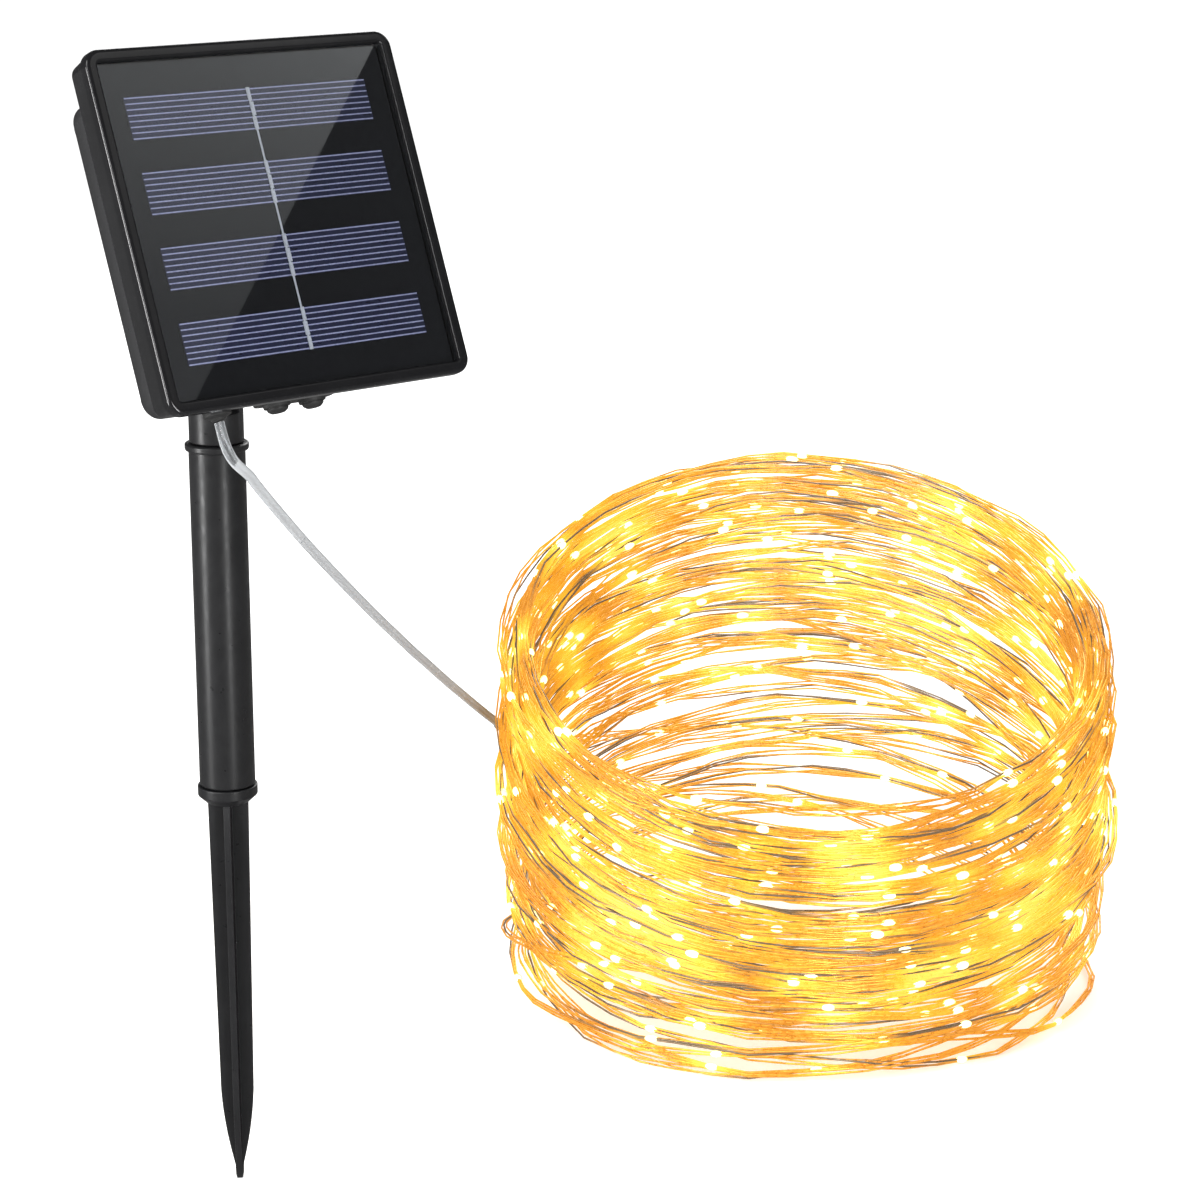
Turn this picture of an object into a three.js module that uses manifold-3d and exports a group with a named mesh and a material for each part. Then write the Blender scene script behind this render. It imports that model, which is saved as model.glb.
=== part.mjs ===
// Solar string lights: a tilting solar housing on a ground stake, with a clear
// lead that runs to a coil of copper-wire lights. Millimetres, +Z up. The origin
// is the tip of the ground spike, and the panel faces -Y.
import * as THREE from "three";
import { mergeVertices } from "three/addons/utils/BufferGeometryUtils.js";
import Module from "manifold-3d";

const wasm = await Module();
wasm.setup();

// ---- Driving dimensions ----
const GAP = 0.3; // between pieces that touch

const POLE_RADIUS = 9;
const POLE_BORE = 7.1;
const POLE_BOTTOM = 139.5;
const POLE_TOP = 251.6;
const SPIKE_TURN = THREE.MathUtils.degToRad(-39); // the blade's angle about the pole
const HINGE_Z = 296;
const NECK_RADIUS = 8.7;
const SLOT_WIDTH = 7.2;
const TONGUE_WIDTH = 6.4;

const HEAD_TILT = THREE.MathUtils.degToRad(-22); // the panel leans back this far at rest
const HINGE_BEHIND = 50; // from the panel's front face back to the tilt bolt
const HINGE_BELOW = 15; // from the panel's centre down to the tilt bolt

const PANEL_HALF = 55; // the housing's front is 110 mm square
const BEZEL_DEPTH = 12;
const SHELL_FRONT = 13.2;
const SHELL_BACK = 25;
const SHELL_LOW = -52;
const SHELL_HIGH = 44.8;
const SHELL_HALF = 51.3;
const WALL = 2;
const SCREW_X = 44.5;
const SCREW_LOW = -45.5;
const SCREW_HIGH = 37.5;

const CELL_COUNT = 4;
const CELL_WIDTH = 87;
const CELL_HEIGHT = 13;
const CELL_PITCH = 22.8;

const CELL_BATTERY_RADIUS = 7.1; // AA
const CELL_BATTERY_LENGTH = 49;
const BATTERY_Y = 14.4;
const BATTERY_Z = 18;

const BUTTON_X = 6.5;
const BUTTON_Y = 18.6;
const LEAD_X = -28;
const LEAD_RADIUS = 1.5;

const COIL_CENTRE = [271, 11];
const COIL_OUTER = 119;
const COIL_INNER = 98;
const COIL_FRONT_HEIGHT = 97; // the side towards SLUMP
const COIL_BACK_HEIGHT = 185;
const SLUMP = THREE.MathUtils.degToRad(-129.5); // direction of the coil's lowest side
const SLEEVE_ANGLE = THREE.MathUtils.degToRad(123); // where the joint sleeve touches the coil
const SLEEVE_RADIUS = 2.3;
const SLEEVE_LENGTH = 18;
const SLEEVE_Z = 90;
const SLEEVE_PITCH = THREE.MathUtils.degToRad(28); // it slopes down along the coil

// ---- Materials ----
function material(color, roughness, metalness = 0) {
  return new THREE.MeshStandardMaterial({ color, roughness, metalness });
}
const blackGloss = material(0x141414, 0.25);
const blackSatin = material(0x1b1b1b, 0.45);
const stakeGrey = material(0x262626, 0.5);
const blackRubber = material(0x101010, 0.7);
const clearCover = material(0x2c3036, 0.08);
const cellBlue = material(0x1a2345, 0.3);
const boardBlack = material(0x0b0b0c, 0.35);
const tinned = material(0xc9ccd2, 0.35, 0.8);
const steel = material(0xb4b6b8, 0.3, 1);
const batteryGreen = material(0x3f9a4c, 0.35);
const boardGreen = material(0x1d5a38, 0.4);
const redWire = material(0xb01d1d, 0.5);
const clearLead = material(0xdfe3e4, 0.2);
const copper = material(0xd89a3a, 0.35, 0.7);

// ---- Solids ----
function toSolid(geometry) {
  const bare = geometry.index ? geometry.toNonIndexed() : geometry.clone();
  bare.deleteAttribute("normal");
  bare.deleteAttribute("uv");
  const merged = mergeVertices(bare, 1e-4);
  return new wasm.Manifold(
    new wasm.Mesh({
      numProp: 3,
      vertProperties: merged.attributes.position.array,
      triVerts: new Uint32Array(merged.index.array),
    }),
  );
}

function toGeometry(solid) {
  const made = solid.getMesh();
  const geometry = new THREE.BufferGeometry();
  geometry.setAttribute(
    "position",
    new THREE.Float32BufferAttribute(made.vertProperties, 3),
  );
  geometry.setIndex(new THREE.Uint32BufferAttribute(made.triVerts, 1));
  geometry.computeVertexNormals();
  return geometry;
}

// A box from its two corners.
function box(low, high) {
  const size = high.map((value, axis) => value - low[axis]);
  const centre = high.map((value, axis) => (value + low[axis]) / 2);
  return new THREE.BoxGeometry(...size).translate(...centre);
}

// A solid of revolution about an axis through a point. Each profile entry is
// [radius, distance along the axis].
function turned(profile, axis = "z", centre = [0, 0, 0], segments = 24) {
  const points = profile.map(([r, h]) => new THREE.Vector2(r, h));
  const geometry = new THREE.LatheGeometry(points, segments);
  if (axis === "z") geometry.rotateX(Math.PI / 2);
  if (axis === "x") geometry.rotateZ(-Math.PI / 2);
  return geometry.translate(...centre);
}

// A plain cylinder between two distances along an axis through a point.
function rod(radius, from, to, axis = "z", centre = [0, 0, 0], segments = 20) {
  const profile = [
    [0, from],
    [radius, from],
    [radius, to],
    [0, to],
  ];
  return turned(profile, axis, centre, segments);
}

// An upright prism of an outline in the Y-Z plane, between two X values.
function plateYZ(shape, fromX, toX, curveSegments = 8) {
  const options = { depth: toX - fromX, bevelEnabled: false, curveSegments };
  const geometry = new THREE.ExtrudeGeometry(shape, options);
  geometry.rotateX(Math.PI / 2).rotateZ(Math.PI / 2);
  return geometry.translate(fromX, 0, 0);
}

// A rounded rectangle in the X-Z plane at depth y, as a ring of points.
const CORNER_STEPS = 4;
function ring(y, halfX, lowZ, highZ, radius) {
  const corners = [
    [halfX - radius, highZ - radius, 0],
    [radius - halfX, highZ - radius, 1],
    [radius - halfX, lowZ + radius, 2],
    [halfX - radius, lowZ + radius, 3],
  ];
  return corners.flatMap(([x, z, quarter]) =>
    Array.from({ length: CORNER_STEPS + 1 }, (_, step) => {
      const angle = ((quarter + step / CORNER_STEPS) * Math.PI) / 2;
      const dx = radius * Math.cos(angle);
      const dz = radius * Math.sin(angle);
      return new THREE.Vector3(x + dx, y, z + dz);
    }),
  );
}

// The surface through rings of equal length. With closed it joins the last ring
// to the first, as a frame; otherwise both ends are capped.
function loft(rings, closed) {
  const count = rings[0].length;
  const points = rings.flat();
  const faces = [];
  const spans = closed ? rings.length : rings.length - 1;
  for (let i = 0; i < spans; i++) {
    const a = i * count;
    const b = ((i + 1) % rings.length) * count;
    for (let k = 0; k < count; k++) {
      const next = (k + 1) % count;
      faces.push(a + k, b + k, b + next, a + k, b + next, a + next);
    }
  }
  if (!closed) {
    const last = (rings.length - 1) * count;
    for (let k = 1; k < count - 1; k++) {
      faces.push(0, k, k + 1, last, last + k + 1, last + k);
    }
  }
  const geometry = new THREE.BufferGeometry().setFromPoints(points);
  geometry.setIndex(faces);
  geometry.computeVertexNormals();
  return geometry;
}

// A tube of round section along a smooth curve through the points.
function tube(points, radius, steps, sides = 8) {
  const path = new THREE.CatmullRomCurve3(
    points.map((point) => new THREE.Vector3(...point)),
  );
  const section = new THREE.Shape(
    Array.from({ length: sides }, (_, side) => {
      const angle = (side / sides) * 2 * Math.PI;
      return new THREE.Vector2(
        radius * Math.cos(angle),
        radius * Math.sin(angle),
      );
    }),
  );
  const options = { steps, bevelEnabled: false, extrudePath: path };
  return new THREE.ExtrudeGeometry(section, options);
}

function join(...geometries) {
  const solid = geometries.map(toSolid).reduce((sum, next) => sum.add(next));
  return toGeometry(solid);
}

function cut(geometry, ...tools) {
  const solid = tools
    .map(toSolid)
    .reduce((rest, tool) => rest.subtract(tool), toSolid(geometry));
  return toGeometry(solid);
}

function common(first, second) {
  return toGeometry(toSolid(first).intersect(toSolid(second)));
}

function piece(group, name, geometry, look) {
  const mesh = new THREE.Mesh(geometry, look);
  mesh.name = name;
  group.add(mesh);
  return mesh;
}

const root = new THREE.Group();

// ---- Ground spike ----
function spikeBlade() {
  const outline = new THREE.Shape();
  outline.moveTo(-6.6, 135.5);
  outline.lineTo(-5.4, 32);
  outline.quadraticCurveTo(-5.0, 20, -1.4, 5);
  outline.lineTo(-1.2, 0);
  outline.lineTo(1.2, 0);
  outline.lineTo(1.4, 5);
  outline.quadraticCurveTo(5.0, 20, 5.4, 32);
  outline.lineTo(6.6, 135.5);
  outline.closePath();
  return plateYZ(outline, -1.1, 1.1, 6);
}

function groundSpike() {
  const flange = turned([
    [0, 133.5],
    [7.2, 133.5],
    [9.7, 135.9],
    [9.7, 138.7],
    [9.2, 139.2],
    [6.8, 139.2],
    [6.8, 159.5],
    [6.2, 161],
    [0, 161],
  ]);
  const across = spikeBlade().rotateZ(Math.PI / 2);
  return join(flange, spikeBlade(), across).rotateZ(SPIKE_TURN);
}
piece(root, "ground_spike", groundSpike(), stakeGrey);

// ---- Pole ----
function poleTube() {
  return turned(
    [
      [POLE_BORE, POLE_BOTTOM],
      [POLE_RADIUS - 0.4, POLE_BOTTOM],
      [POLE_RADIUS, POLE_BOTTOM + 0.5],
      [POLE_RADIUS, POLE_TOP],
      [POLE_BORE, POLE_TOP],
      [POLE_BORE, POLE_BOTTOM],
    ],
    "z",
    [0, 0, 0],
    32,
  );
}
piece(root, "pole_tube", poleTube(), stakeGrey);

const COLLAR_TOP = POLE_TOP + 1.1;
function poleCollar() {
  const skirt = POLE_RADIUS + GAP;
  return turned(
    [
      [skirt, POLE_TOP - 1.2],
      [9.9, POLE_TOP - 1.2],
      [10.1, POLE_TOP - 0.8],
      [10.1, COLLAR_TOP - 0.4],
      [9.8, COLLAR_TOP],
      [POLE_BORE, COLLAR_TOP],
      [POLE_BORE, POLE_TOP + GAP],
      [skirt, POLE_TOP + GAP],
      [skirt, POLE_TOP - 1.2],
    ],
    "z",
    [0, 0, 0],
    32,
  );
}
piece(root, "pole_collar", poleCollar(), stakeGrey);

// ---- Swivel neck: spigot, stub and fork ----
function swivelNeck() {
  const foot = COLLAR_TOP + GAP;
  const body = turned(
    [
      [0, foot - 22],
      [6.4, foot - 22],
      [6.95, foot - 20.5],
      [6.95, foot],
      [NECK_RADIUS - 0.5, foot],
      [NECK_RADIUS, foot + 0.5],
      [NECK_RADIUS, HINGE_Z + 10],
      [0, HINGE_Z + 10],
    ],
    "z",
    [0, 0, 0],
    32,
  );
  const side = new THREE.Shape();
  side.moveTo(-12, foot - 30);
  side.lineTo(12, foot - 30);
  side.lineTo(12, HINGE_Z);
  side.lineTo(NECK_RADIUS, HINGE_Z);
  side.absarc(0, HINGE_Z, NECK_RADIUS, 0, Math.PI, false);
  side.lineTo(-12, HINGE_Z);
  side.closePath();
  const slot = new THREE.Shape();
  slot.moveTo(-15, foot + 7);
  slot.lineTo(15, foot + 19);
  slot.lineTo(15, HINGE_Z + 15);
  slot.lineTo(-15, HINGE_Z + 15);
  slot.closePath();
  return cut(
    common(body, plateYZ(side, -12, 12, 8)),
    plateYZ(slot, -SLOT_WIDTH / 2, SLOT_WIDTH / 2),
    rod(2.3, -15, 15, "x", [0, 0, HINGE_Z], 16),
  );
}
piece(root, "swivel_neck", swivelNeck(), stakeGrey);

// ---- Tilt bolt, nut and washers ----
const WASHER_IN = NECK_RADIUS + 0.1;
const WASHER_OUT = WASHER_IN + 0.9;
function washer(side) {
  const from = side * WASHER_IN;
  const to = side * WASHER_OUT;
  const low = Math.min(from, to);
  const high = Math.max(from, to);
  return turned(
    [
      [2.4, low],
      [4.4, low],
      [4.4, high],
      [2.4, high],
      [2.4, low],
    ],
    "x",
    [0, 0, HINGE_Z],
    20,
  );
}
piece(root, "tilt_washer_left", washer(-1), steel);
piece(root, "tilt_washer_right", washer(1), steel);

function tiltBolt() {
  const headFrom = -WASHER_OUT - GAP;
  const bolt = turned(
    [
      [0, headFrom - 3],
      [2.6, headFrom - 3],
      [3.6, headFrom - 2],
      [3.8, headFrom],
      [2, headFrom],
      [2, 16.5],
      [1.6, 17],
      [0, 17],
    ],
    "x",
    [0, 0, HINGE_Z],
    20,
  );
  const slotWide = [headFrom - 4, -2, HINGE_Z - 0.5];
  const slotEnd = [headFrom - 2, 2, HINGE_Z + 0.5];
  const slotHigh = [headFrom - 4, -0.5, HINGE_Z - 2];
  const slotTop = [headFrom - 2, 0.5, HINGE_Z + 2];
  return cut(bolt, box(slotWide, slotEnd), box(slotHigh, slotTop));
}
piece(root, "tilt_bolt", tiltBolt(), steel);

function tiltNut() {
  const from = WASHER_OUT + GAP;
  const hexagon = new THREE.CylinderGeometry(4.1, 4.1, 3.2, 6)
    .rotateZ(Math.PI / 2)
    .translate(from + 1.6, 0, HINGE_Z);
  return cut(hexagon, rod(2.3, from - 1, from + 5, "x", [0, 0, HINGE_Z]));
}
piece(root, "tilt_nut", tiltNut(), steel);

// ---- Head: everything that tilts. Its group's origin is the tilt bolt. ----
const head = new THREE.Group();
head.position.set(0, 0, HINGE_Z);
head.rotation.x = HEAD_TILT;
root.add(head);
// The housing's frame: y = 0 at the panel's front face and y grows towards the
// back, z runs up the panel from its centre.
const housing = new THREE.Group();
housing.position.set(0, -HINGE_BEHIND, HINGE_BELOW);
head.add(housing);

// ---- Front bezel ----
function squareRing(y, half, radius) {
  return ring(y, half, -half, half, radius);
}

function frontBezel() {
  const opening = (y) => ring(y, 40, -42, 33, 4);
  const frame = loft(
    [
      squareRing(0, 53.4, 3.6),
      squareRing(0.5, 54.5, 4.7),
      squareRing(1.6, PANEL_HALF, 5.2),
      squareRing(3.8, PANEL_HALF, 5.2),
      squareRing(4.3, 54.4, 4.6),
      squareRing(BEZEL_DEPTH - 0.5, 53.7, 4),
      squareRing(BEZEL_DEPTH, 53.2, 3.5),
      opening(BEZEL_DEPTH),
      opening(BEZEL_DEPTH - 2),
      squareRing(BEZEL_DEPTH - 2, 51.6, 2),
      squareRing(1.2, 51.6, 2),
      squareRing(1.2, 50.8, 2),
      squareRing(0.4, 51.2, 2.2),
      squareRing(0, 51.8, 2.6),
    ],
    true,
  );
  const posts = screwPlaces().map(([x, z]) =>
    rod(3.2, 7.2, BEZEL_DEPTH - 1, "y", [x, 0, z], 12),
  );
  const pilots = screwPlaces().map(([x, z]) =>
    rod(1.7, 7.8, BEZEL_DEPTH + 1, "y", [x, 0, z], 10),
  );
  return cut(join(frame, ...posts), ...pilots);
}

function screwPlaces() {
  return [
    [-SCREW_X, SCREW_LOW],
    [SCREW_X, SCREW_LOW],
    [-SCREW_X, SCREW_HIGH],
    [SCREW_X, SCREW_HIGH],
  ];
}
piece(housing, "front_bezel", frontBezel(), blackGloss);

// ---- Gasket between bezel and shell ----
function housingGasket() {
  const front = BEZEL_DEPTH + GAP;
  const back = SHELL_FRONT - GAP;
  const outer = (y) =>
    ring(y, SHELL_HALF - 0.6, SHELL_LOW + 0.6, SHELL_HIGH - 0.6, 5.4);
  const inner = (y) =>
    ring(y, SHELL_HALF - 1.9, SHELL_LOW + 1.9, SHELL_HIGH - 1.9, 4.4);
  return loft([outer(front), outer(back), inner(back), inner(front)], true);
}
piece(housing, "housing_gasket", housingGasket(), blackRubber);

// ---- Rear shell ----
const BRACKET_SCREW_X = 8.5;
const BRACKET_SCREW_Z = -14;
function rearShell() {
  const outer = loft(
    [
      ring(SHELL_FRONT, SHELL_HALF, SHELL_LOW, SHELL_HIGH, 6),
      ring(22.6, SHELL_HALF - 0.8, SHELL_LOW, SHELL_HIGH - 0.8, 6),
      ring(24.2, SHELL_HALF - 1.5, SHELL_LOW + 0.7, SHELL_HIGH - 1.5, 6),
      ring(SHELL_BACK, SHELL_HALF - 3, SHELL_LOW + 2.2, SHELL_HIGH - 3, 5),
    ],
    false,
  );
  const hollow = loft(
    [
      ring(
        SHELL_FRONT - 1,
        SHELL_HALF - WALL,
        SHELL_LOW + WALL,
        SHELL_HIGH - WALL,
        4,
      ),
      ring(
        SHELL_BACK - WALL,
        SHELL_HALF - WALL - 1,
        SHELL_LOW + WALL,
        SHELL_HIGH - WALL - 1,
        4,
      ),
    ],
    false,
  );
  const posts = screwPlaces().map(([x, z]) =>
    rod(4.7, SHELL_FRONT + 0.1, SHELL_BACK - 1, "y", [x, 0, z], 14),
  );
  const bracketPosts = [-1, 1].map((side) =>
    rod(3.2, 16.5, SHELL_BACK - 1, "y", bracketScrewAt(side), 12),
  );
  const screwHoles = screwPlaces().flatMap(([x, z]) => [
    rod(1.8, 10, 30, "y", [x, 0, z], 10),
    rod(3.2, 21, 30, "y", [x, 0, z], 14),
  ]);
  const bracketHoles = [-1, 1].map((side) =>
    rod(1.5, 17.5, 30, "y", bracketScrewAt(side), 10),
  );
  const floorHoles = [
    rod(3.3, SHELL_LOW - 5, SHELL_LOW + 5, "z", [LEAD_X, BUTTON_Y, 0], 14),
    rod(2.7, SHELL_LOW - 5, SHELL_LOW + 5, "z", [-BUTTON_X, BUTTON_Y, 0], 14),
    rod(2.7, SHELL_LOW - 5, SHELL_LOW + 5, "z", [BUTTON_X, BUTTON_Y, 0], 14),
  ];
  const tray = cut(outer, hollow);
  return cut(
    join(tray, ...posts, ...bracketPosts),
    ...screwHoles,
    ...bracketHoles,
    ...floorHoles,
  );
}

function bracketScrewAt(side) {
  return [side * BRACKET_SCREW_X, 0, BRACKET_SCREW_Z];
}
piece(housing, "rear_shell", rearShell(), blackSatin);

// ---- Case screws ----
function panScrew(headY, headRadius, headDepth, shankRadius, tipY, at) {
  const screw = turned(
    [
      [0, tipY],
      [shankRadius, tipY + 0.8],
      [shankRadius, headY],
      [headRadius, headY],
      [headRadius, headY + headDepth * 0.6],
      [headRadius * 0.6, headY + headDepth],
      [0, headY + headDepth],
    ],
    "y",
    at,
    14,
  );
  const [x, , z] = at;
  const top = headY + headDepth;
  const reach = headRadius * 0.5;
  return cut(
    screw,
    box([x - reach, top - 0.9, z - 0.4], [x + reach, top + 1, z + 0.4]),
    box([x - 0.4, top - 0.9, z - reach], [x + 0.4, top + 1, z + reach]),
  );
}
screwPlaces().forEach(([x, z], index) => {
  const screw = panScrew(21.3, 2.8, 1.9, 1.35, 8.2, [x, 0, z]);
  piece(housing, "case_screw_" + (index + 1), screw, steel);
});

// ---- Solar panel: cover, cells, ribbon, board, sealant ----
piece(
  housing,
  "panel_cover",
  loft([squareRing(1.5, 51.2, 1.6), squareRing(2.3, 51.2, 1.6)], false),
  clearCover,
);
piece(
  housing,
  "bus_ribbon",
  box([-0.8, 2.6, -44.5], [0.8, 2.75, 44.5]),
  tinned,
);
for (let index = 0; index < CELL_COUNT; index++) {
  const z = (1.5 - index) * CELL_PITCH;
  const low = [-CELL_WIDTH / 2, 3.05, z - CELL_HEIGHT / 2];
  const high = [CELL_WIDTH / 2, 3.4, z + CELL_HEIGHT / 2];
  piece(housing, "solar_cell_" + (index + 1), box(low, high), cellBlue);
}
piece(
  housing,
  "panel_board",
  loft([squareRing(3.7, 51.2, 1.6), squareRing(5.3, 51.2, 1.6)], false),
  boardBlack,
);
piece(
  housing,
  "panel_sealant",
  loft(
    [
      squareRing(5.6, 51.2, 1.6),
      squareRing(6.8, 51.2, 1.6),
      squareRing(6.8, 49.2, 1.6),
      squareRing(5.6, 49.2, 1.6),
    ],
    true,
  ),
  blackRubber,
);

// ---- Battery, holder, spring and contact ----
function battery() {
  const half = CELL_BATTERY_LENGTH / 2;
  const centre = [0, BATTERY_Y, BATTERY_Z];
  return turned(
    [
      [0, -half],
      [CELL_BATTERY_RADIUS - 0.6, -half],
      [CELL_BATTERY_RADIUS, -half + 0.5],
      [CELL_BATTERY_RADIUS, half - 1.8],
      [CELL_BATTERY_RADIUS - 0.8, half - 1.2],
      [2.6, half - 1.2],
      [2.6, half],
      [0, half],
    ],
    "x",
    centre,
    24,
  );
}
piece(housing, "battery", battery(), batteryGreen);

function batteryHolder() {
  const back = SHELL_BACK - WALL - GAP;
  const side = CELL_BATTERY_RADIUS + 1.7;
  const tray = box(
    [-32, 13, BATTERY_Z - side],
    [29.5, back, BATTERY_Z + side],
  );
  const bed = rod(
    CELL_BATTERY_RADIUS + 0.35,
    -30.6,
    28,
    "x",
    [0, BATTERY_Y, BATTERY_Z],
    24,
  );
  const mouth = box([-30.6, 5, BATTERY_Z - 5.5], [28, 15, BATTERY_Z + 5.5]);
  return cut(tray, bed, mouth);
}
piece(housing, "battery_holder", batteryHolder(), blackSatin);

function batterySpring() {
  const turns = 3;
  const stepsPerTurn = 12;
  const from = -30.1;
  const to = -25.3;
  const points = Array.from({ length: turns * stepsPerTurn + 1 }, (_, step) => {
    const share = step / (turns * stepsPerTurn);
    const angle = share * turns * 2 * Math.PI;
    const radius = 4.6 - 2 * share;
    return [
      from + (to - from) * share,
      BATTERY_Y + radius * Math.cos(angle),
      BATTERY_Z + radius * Math.sin(angle),
    ];
  });
  return tube(points, 0.35, turns * stepsPerTurn, 6);
}
piece(housing, "battery_spring", batterySpring(), steel);
piece(
  housing,
  "battery_contact",
  box([24.9, BATTERY_Y - 4, BATTERY_Z - 4], [25.4, BATTERY_Y + 4, BATTERY_Z + 4]),
  steel,
);

// ---- Circuit board and its parts ----
const BOARD_FRONT = 21.3;
piece(
  housing,
  "circuit_board",
  box([-20, BOARD_FRONT, -44], [20, 22.7, -20.5]),
  boardGreen,
);

function driverChip() {
  const body = box([-9, 18.9, -33], [-4, 20.4, -28]);
  const legs = [-1.2, 1.2].flatMap((offset) => [
    box([-10.4, 19.4, offset - 31], [-8.8, 20.9, offset - 30.3]),
    box([-4.2, 19.4, offset - 31], [-2.6, 20.9, offset - 30.3]),
  ]);
  return join(body, ...legs);
}
piece(housing, "driver_chip", driverChip(), boardBlack);
piece(
  housing,
  "inductor",
  turned(
    [
      [0, 14.5],
      [3, 14.5],
      [3, 15.5],
      [2.2, 15.9],
      [2.2, 19.4],
      [3, 19.8],
      [3, 21],
      [0, 21],
    ],
    "y",
    [14, 0, -27],
    16,
  ),
  blackSatin,
);
piece(
  housing,
  "capacitor",
  rod(2.5, 13, 21, "y", [4.5, 0, -26.5], 16),
  boardBlack,
);

// ---- Switches and buttons on the underside ----
function switchBody(x) {
  const body = box(
    [x - 3, BUTTON_Y - 2.4, -43.8],
    [x + 3, BOARD_FRONT - GAP, -38.8],
  );
  return cut(body, rod(1.9, -45, -41, "z", [x, BUTTON_Y, 0], 14));
}

function switchPlunger(x) {
  return rod(1.6, -45.4, -42.6, "z", [x, BUTTON_Y, 0], 14);
}

function pushButton(x) {
  return turned(
    [
      [0, -56.2],
      [1.8, -56],
      [3, -55.2],
      [3.4, -54],
      [3.4, -53.7],
      [2.2, -53.7],
      [2.2, -45.7],
      [0, -45.7],
    ],
    "z",
    [x, BUTTON_Y, 0],
    20,
  );
}
for (const [use, x] of [
  ["power", -BUTTON_X],
  ["mode", BUTTON_X],
]) {
  piece(housing, "switch_body_" + use, switchBody(x), boardBlack);
  piece(housing, "switch_plunger_" + use, switchPlunger(x), blackSatin);
  piece(housing, "button_" + use, pushButton(x), blackRubber);
}

function buttonPad() {
  const halfLength = 14;
  const halfWidth = 4.8;
  const outline = new THREE.Shape();
  const straight = halfLength - halfWidth;
  outline.absarc(straight, 0, halfWidth, -Math.PI / 2, Math.PI / 2, false);
  outline.absarc(-straight, 0, halfWidth, Math.PI / 2, 1.5 * Math.PI, false);
  outline.closePath();
  const pad = new THREE.ExtrudeGeometry(outline, {
    depth: 0.55,
    bevelEnabled: false,
    curveSegments: 8,
  }).translate(0, BUTTON_Y, SHELL_LOW - GAP - 0.55);
  return cut(
    pad,
    rod(2.7, -60, -50, "z", [-BUTTON_X, BUTTON_Y, 0], 14),
    rod(2.7, -60, -50, "z", [BUTTON_X, BUTTON_Y, 0], 14),
  );
}
piece(housing, "button_pad", buttonPad(), blackRubber);

// ---- Grommet and the wires inside the housing ----
const GLAND_END = -55.6;
function cableGland() {
  return turned(
    [
      [0, GLAND_END],
      [2.1, GLAND_END],
      [2.8, -55],
      [4.4, -54],
      [4.4, SHELL_LOW - GAP],
      [3, SHELL_LOW - GAP],
      [3, SHELL_LOW + WALL + GAP],
      [4.2, SHELL_LOW + WALL + GAP],
      [3.8, SHELL_LOW + WALL + 1.8],
      [0, SHELL_LOW + WALL + 1.8],
    ],
    "z",
    [LEAD_X, BUTTON_Y, 0],
    18,
  );
}
piece(housing, "cable_gland", cableGland(), blackRubber);

const WIRE_RADIUS = 0.7;
const wires = [
  [
    "lead_tail",
    clearLead,
    [
      [LEAD_X, BUTTON_Y, -47.8],
      [LEAD_X, BUTTON_Y - 0.4, -44],
      [-26.5, BUTTON_Y - 1, -39],
      [-22, BUTTON_Y - 1, -36],
      [-17, BUTTON_Y + 0.4, -36],
    ],
  ],
  [
    "panel_wire_red",
    redWire,
    [
      [6, 6.5, -6],
      [6, 9, -8],
      [9, 13, -14],
      [10, 17, -19],
      [10, 20, -23.5],
    ],
  ],
  [
    "panel_wire_black",
    blackRubber,
    [
      [-6, 6.5, -6],
      [-6, 9, -8],
      [-11, 13, -14],
      [-13, 17, -19],
      [-13, 20, -23.5],
    ],
  ],
  [
    "battery_wire_red",
    redWire,
    [
      [31, 14, 14],
      [33, 15, 6],
      [30, 16, -8],
      [23, 18, -20],
      [17.5, 20, -24],
    ],
  ],
  [
    "battery_wire_black",
    blackRubber,
    [
      [-33.5, 14, 14],
      [-35, 15, 6],
      [-31, 16, -8],
      [-23, 18, -20],
      [-17.5, 20, -24],
    ],
  ],
];
for (const [name, look, points] of wires) {
  piece(housing, name, tube(points, WIRE_RADIUS, 14, 6), look);
}

// ---- Hinge bracket: a base plate on the shell's back, with the tongue ----
function hingeBracket() {
  const front = SHELL_BACK + GAP;
  const back = front + 2.6;
  const base = loft(
    [
      ring(front, 13, -30, 6, 3),
      ring(back - 0.6, 13, -30, 6, 3),
      ring(back, 12.4, -29.4, 5.4, 2.4),
    ],
    false,
  );
  const eye = 8;
  const tongue = new THREE.Shape();
  tongue.moveTo(back - 1, 4.5);
  tongue.lineTo(back - 1, -28);
  tongue.lineTo(HINGE_BEHIND - 3, -HINGE_BELOW - 7.4);
  tongue.absarc(HINGE_BEHIND, -HINGE_BELOW, eye, -1.95, 1.95, false);
  tongue.closePath();
  const web = plateYZ(tongue, -TONGUE_WIDTH / 2, TONGUE_WIDTH / 2, 10);
  const boltHole = rod(
    2.3,
    -10,
    10,
    "x",
    [0, HINGE_BEHIND, -HINGE_BELOW],
    16,
  );
  const screwHoles = [-1, 1].map((side) =>
    rod(1.7, 20, 40, "y", bracketScrewAt(side), 12),
  );
  return cut(join(base, web), boltHole, ...screwHoles);
}
piece(housing, "hinge_bracket", hingeBracket(), blackSatin);
for (const [label, side] of [
  ["left", -1],
  ["right", 1],
]) {
  const at = bracketScrewAt(side);
  const screw = panScrew(28.2, 2.8, 1.8, 1.2, 18, at);
  piece(housing, "bracket_screw_" + label, screw, steel);
}

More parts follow.
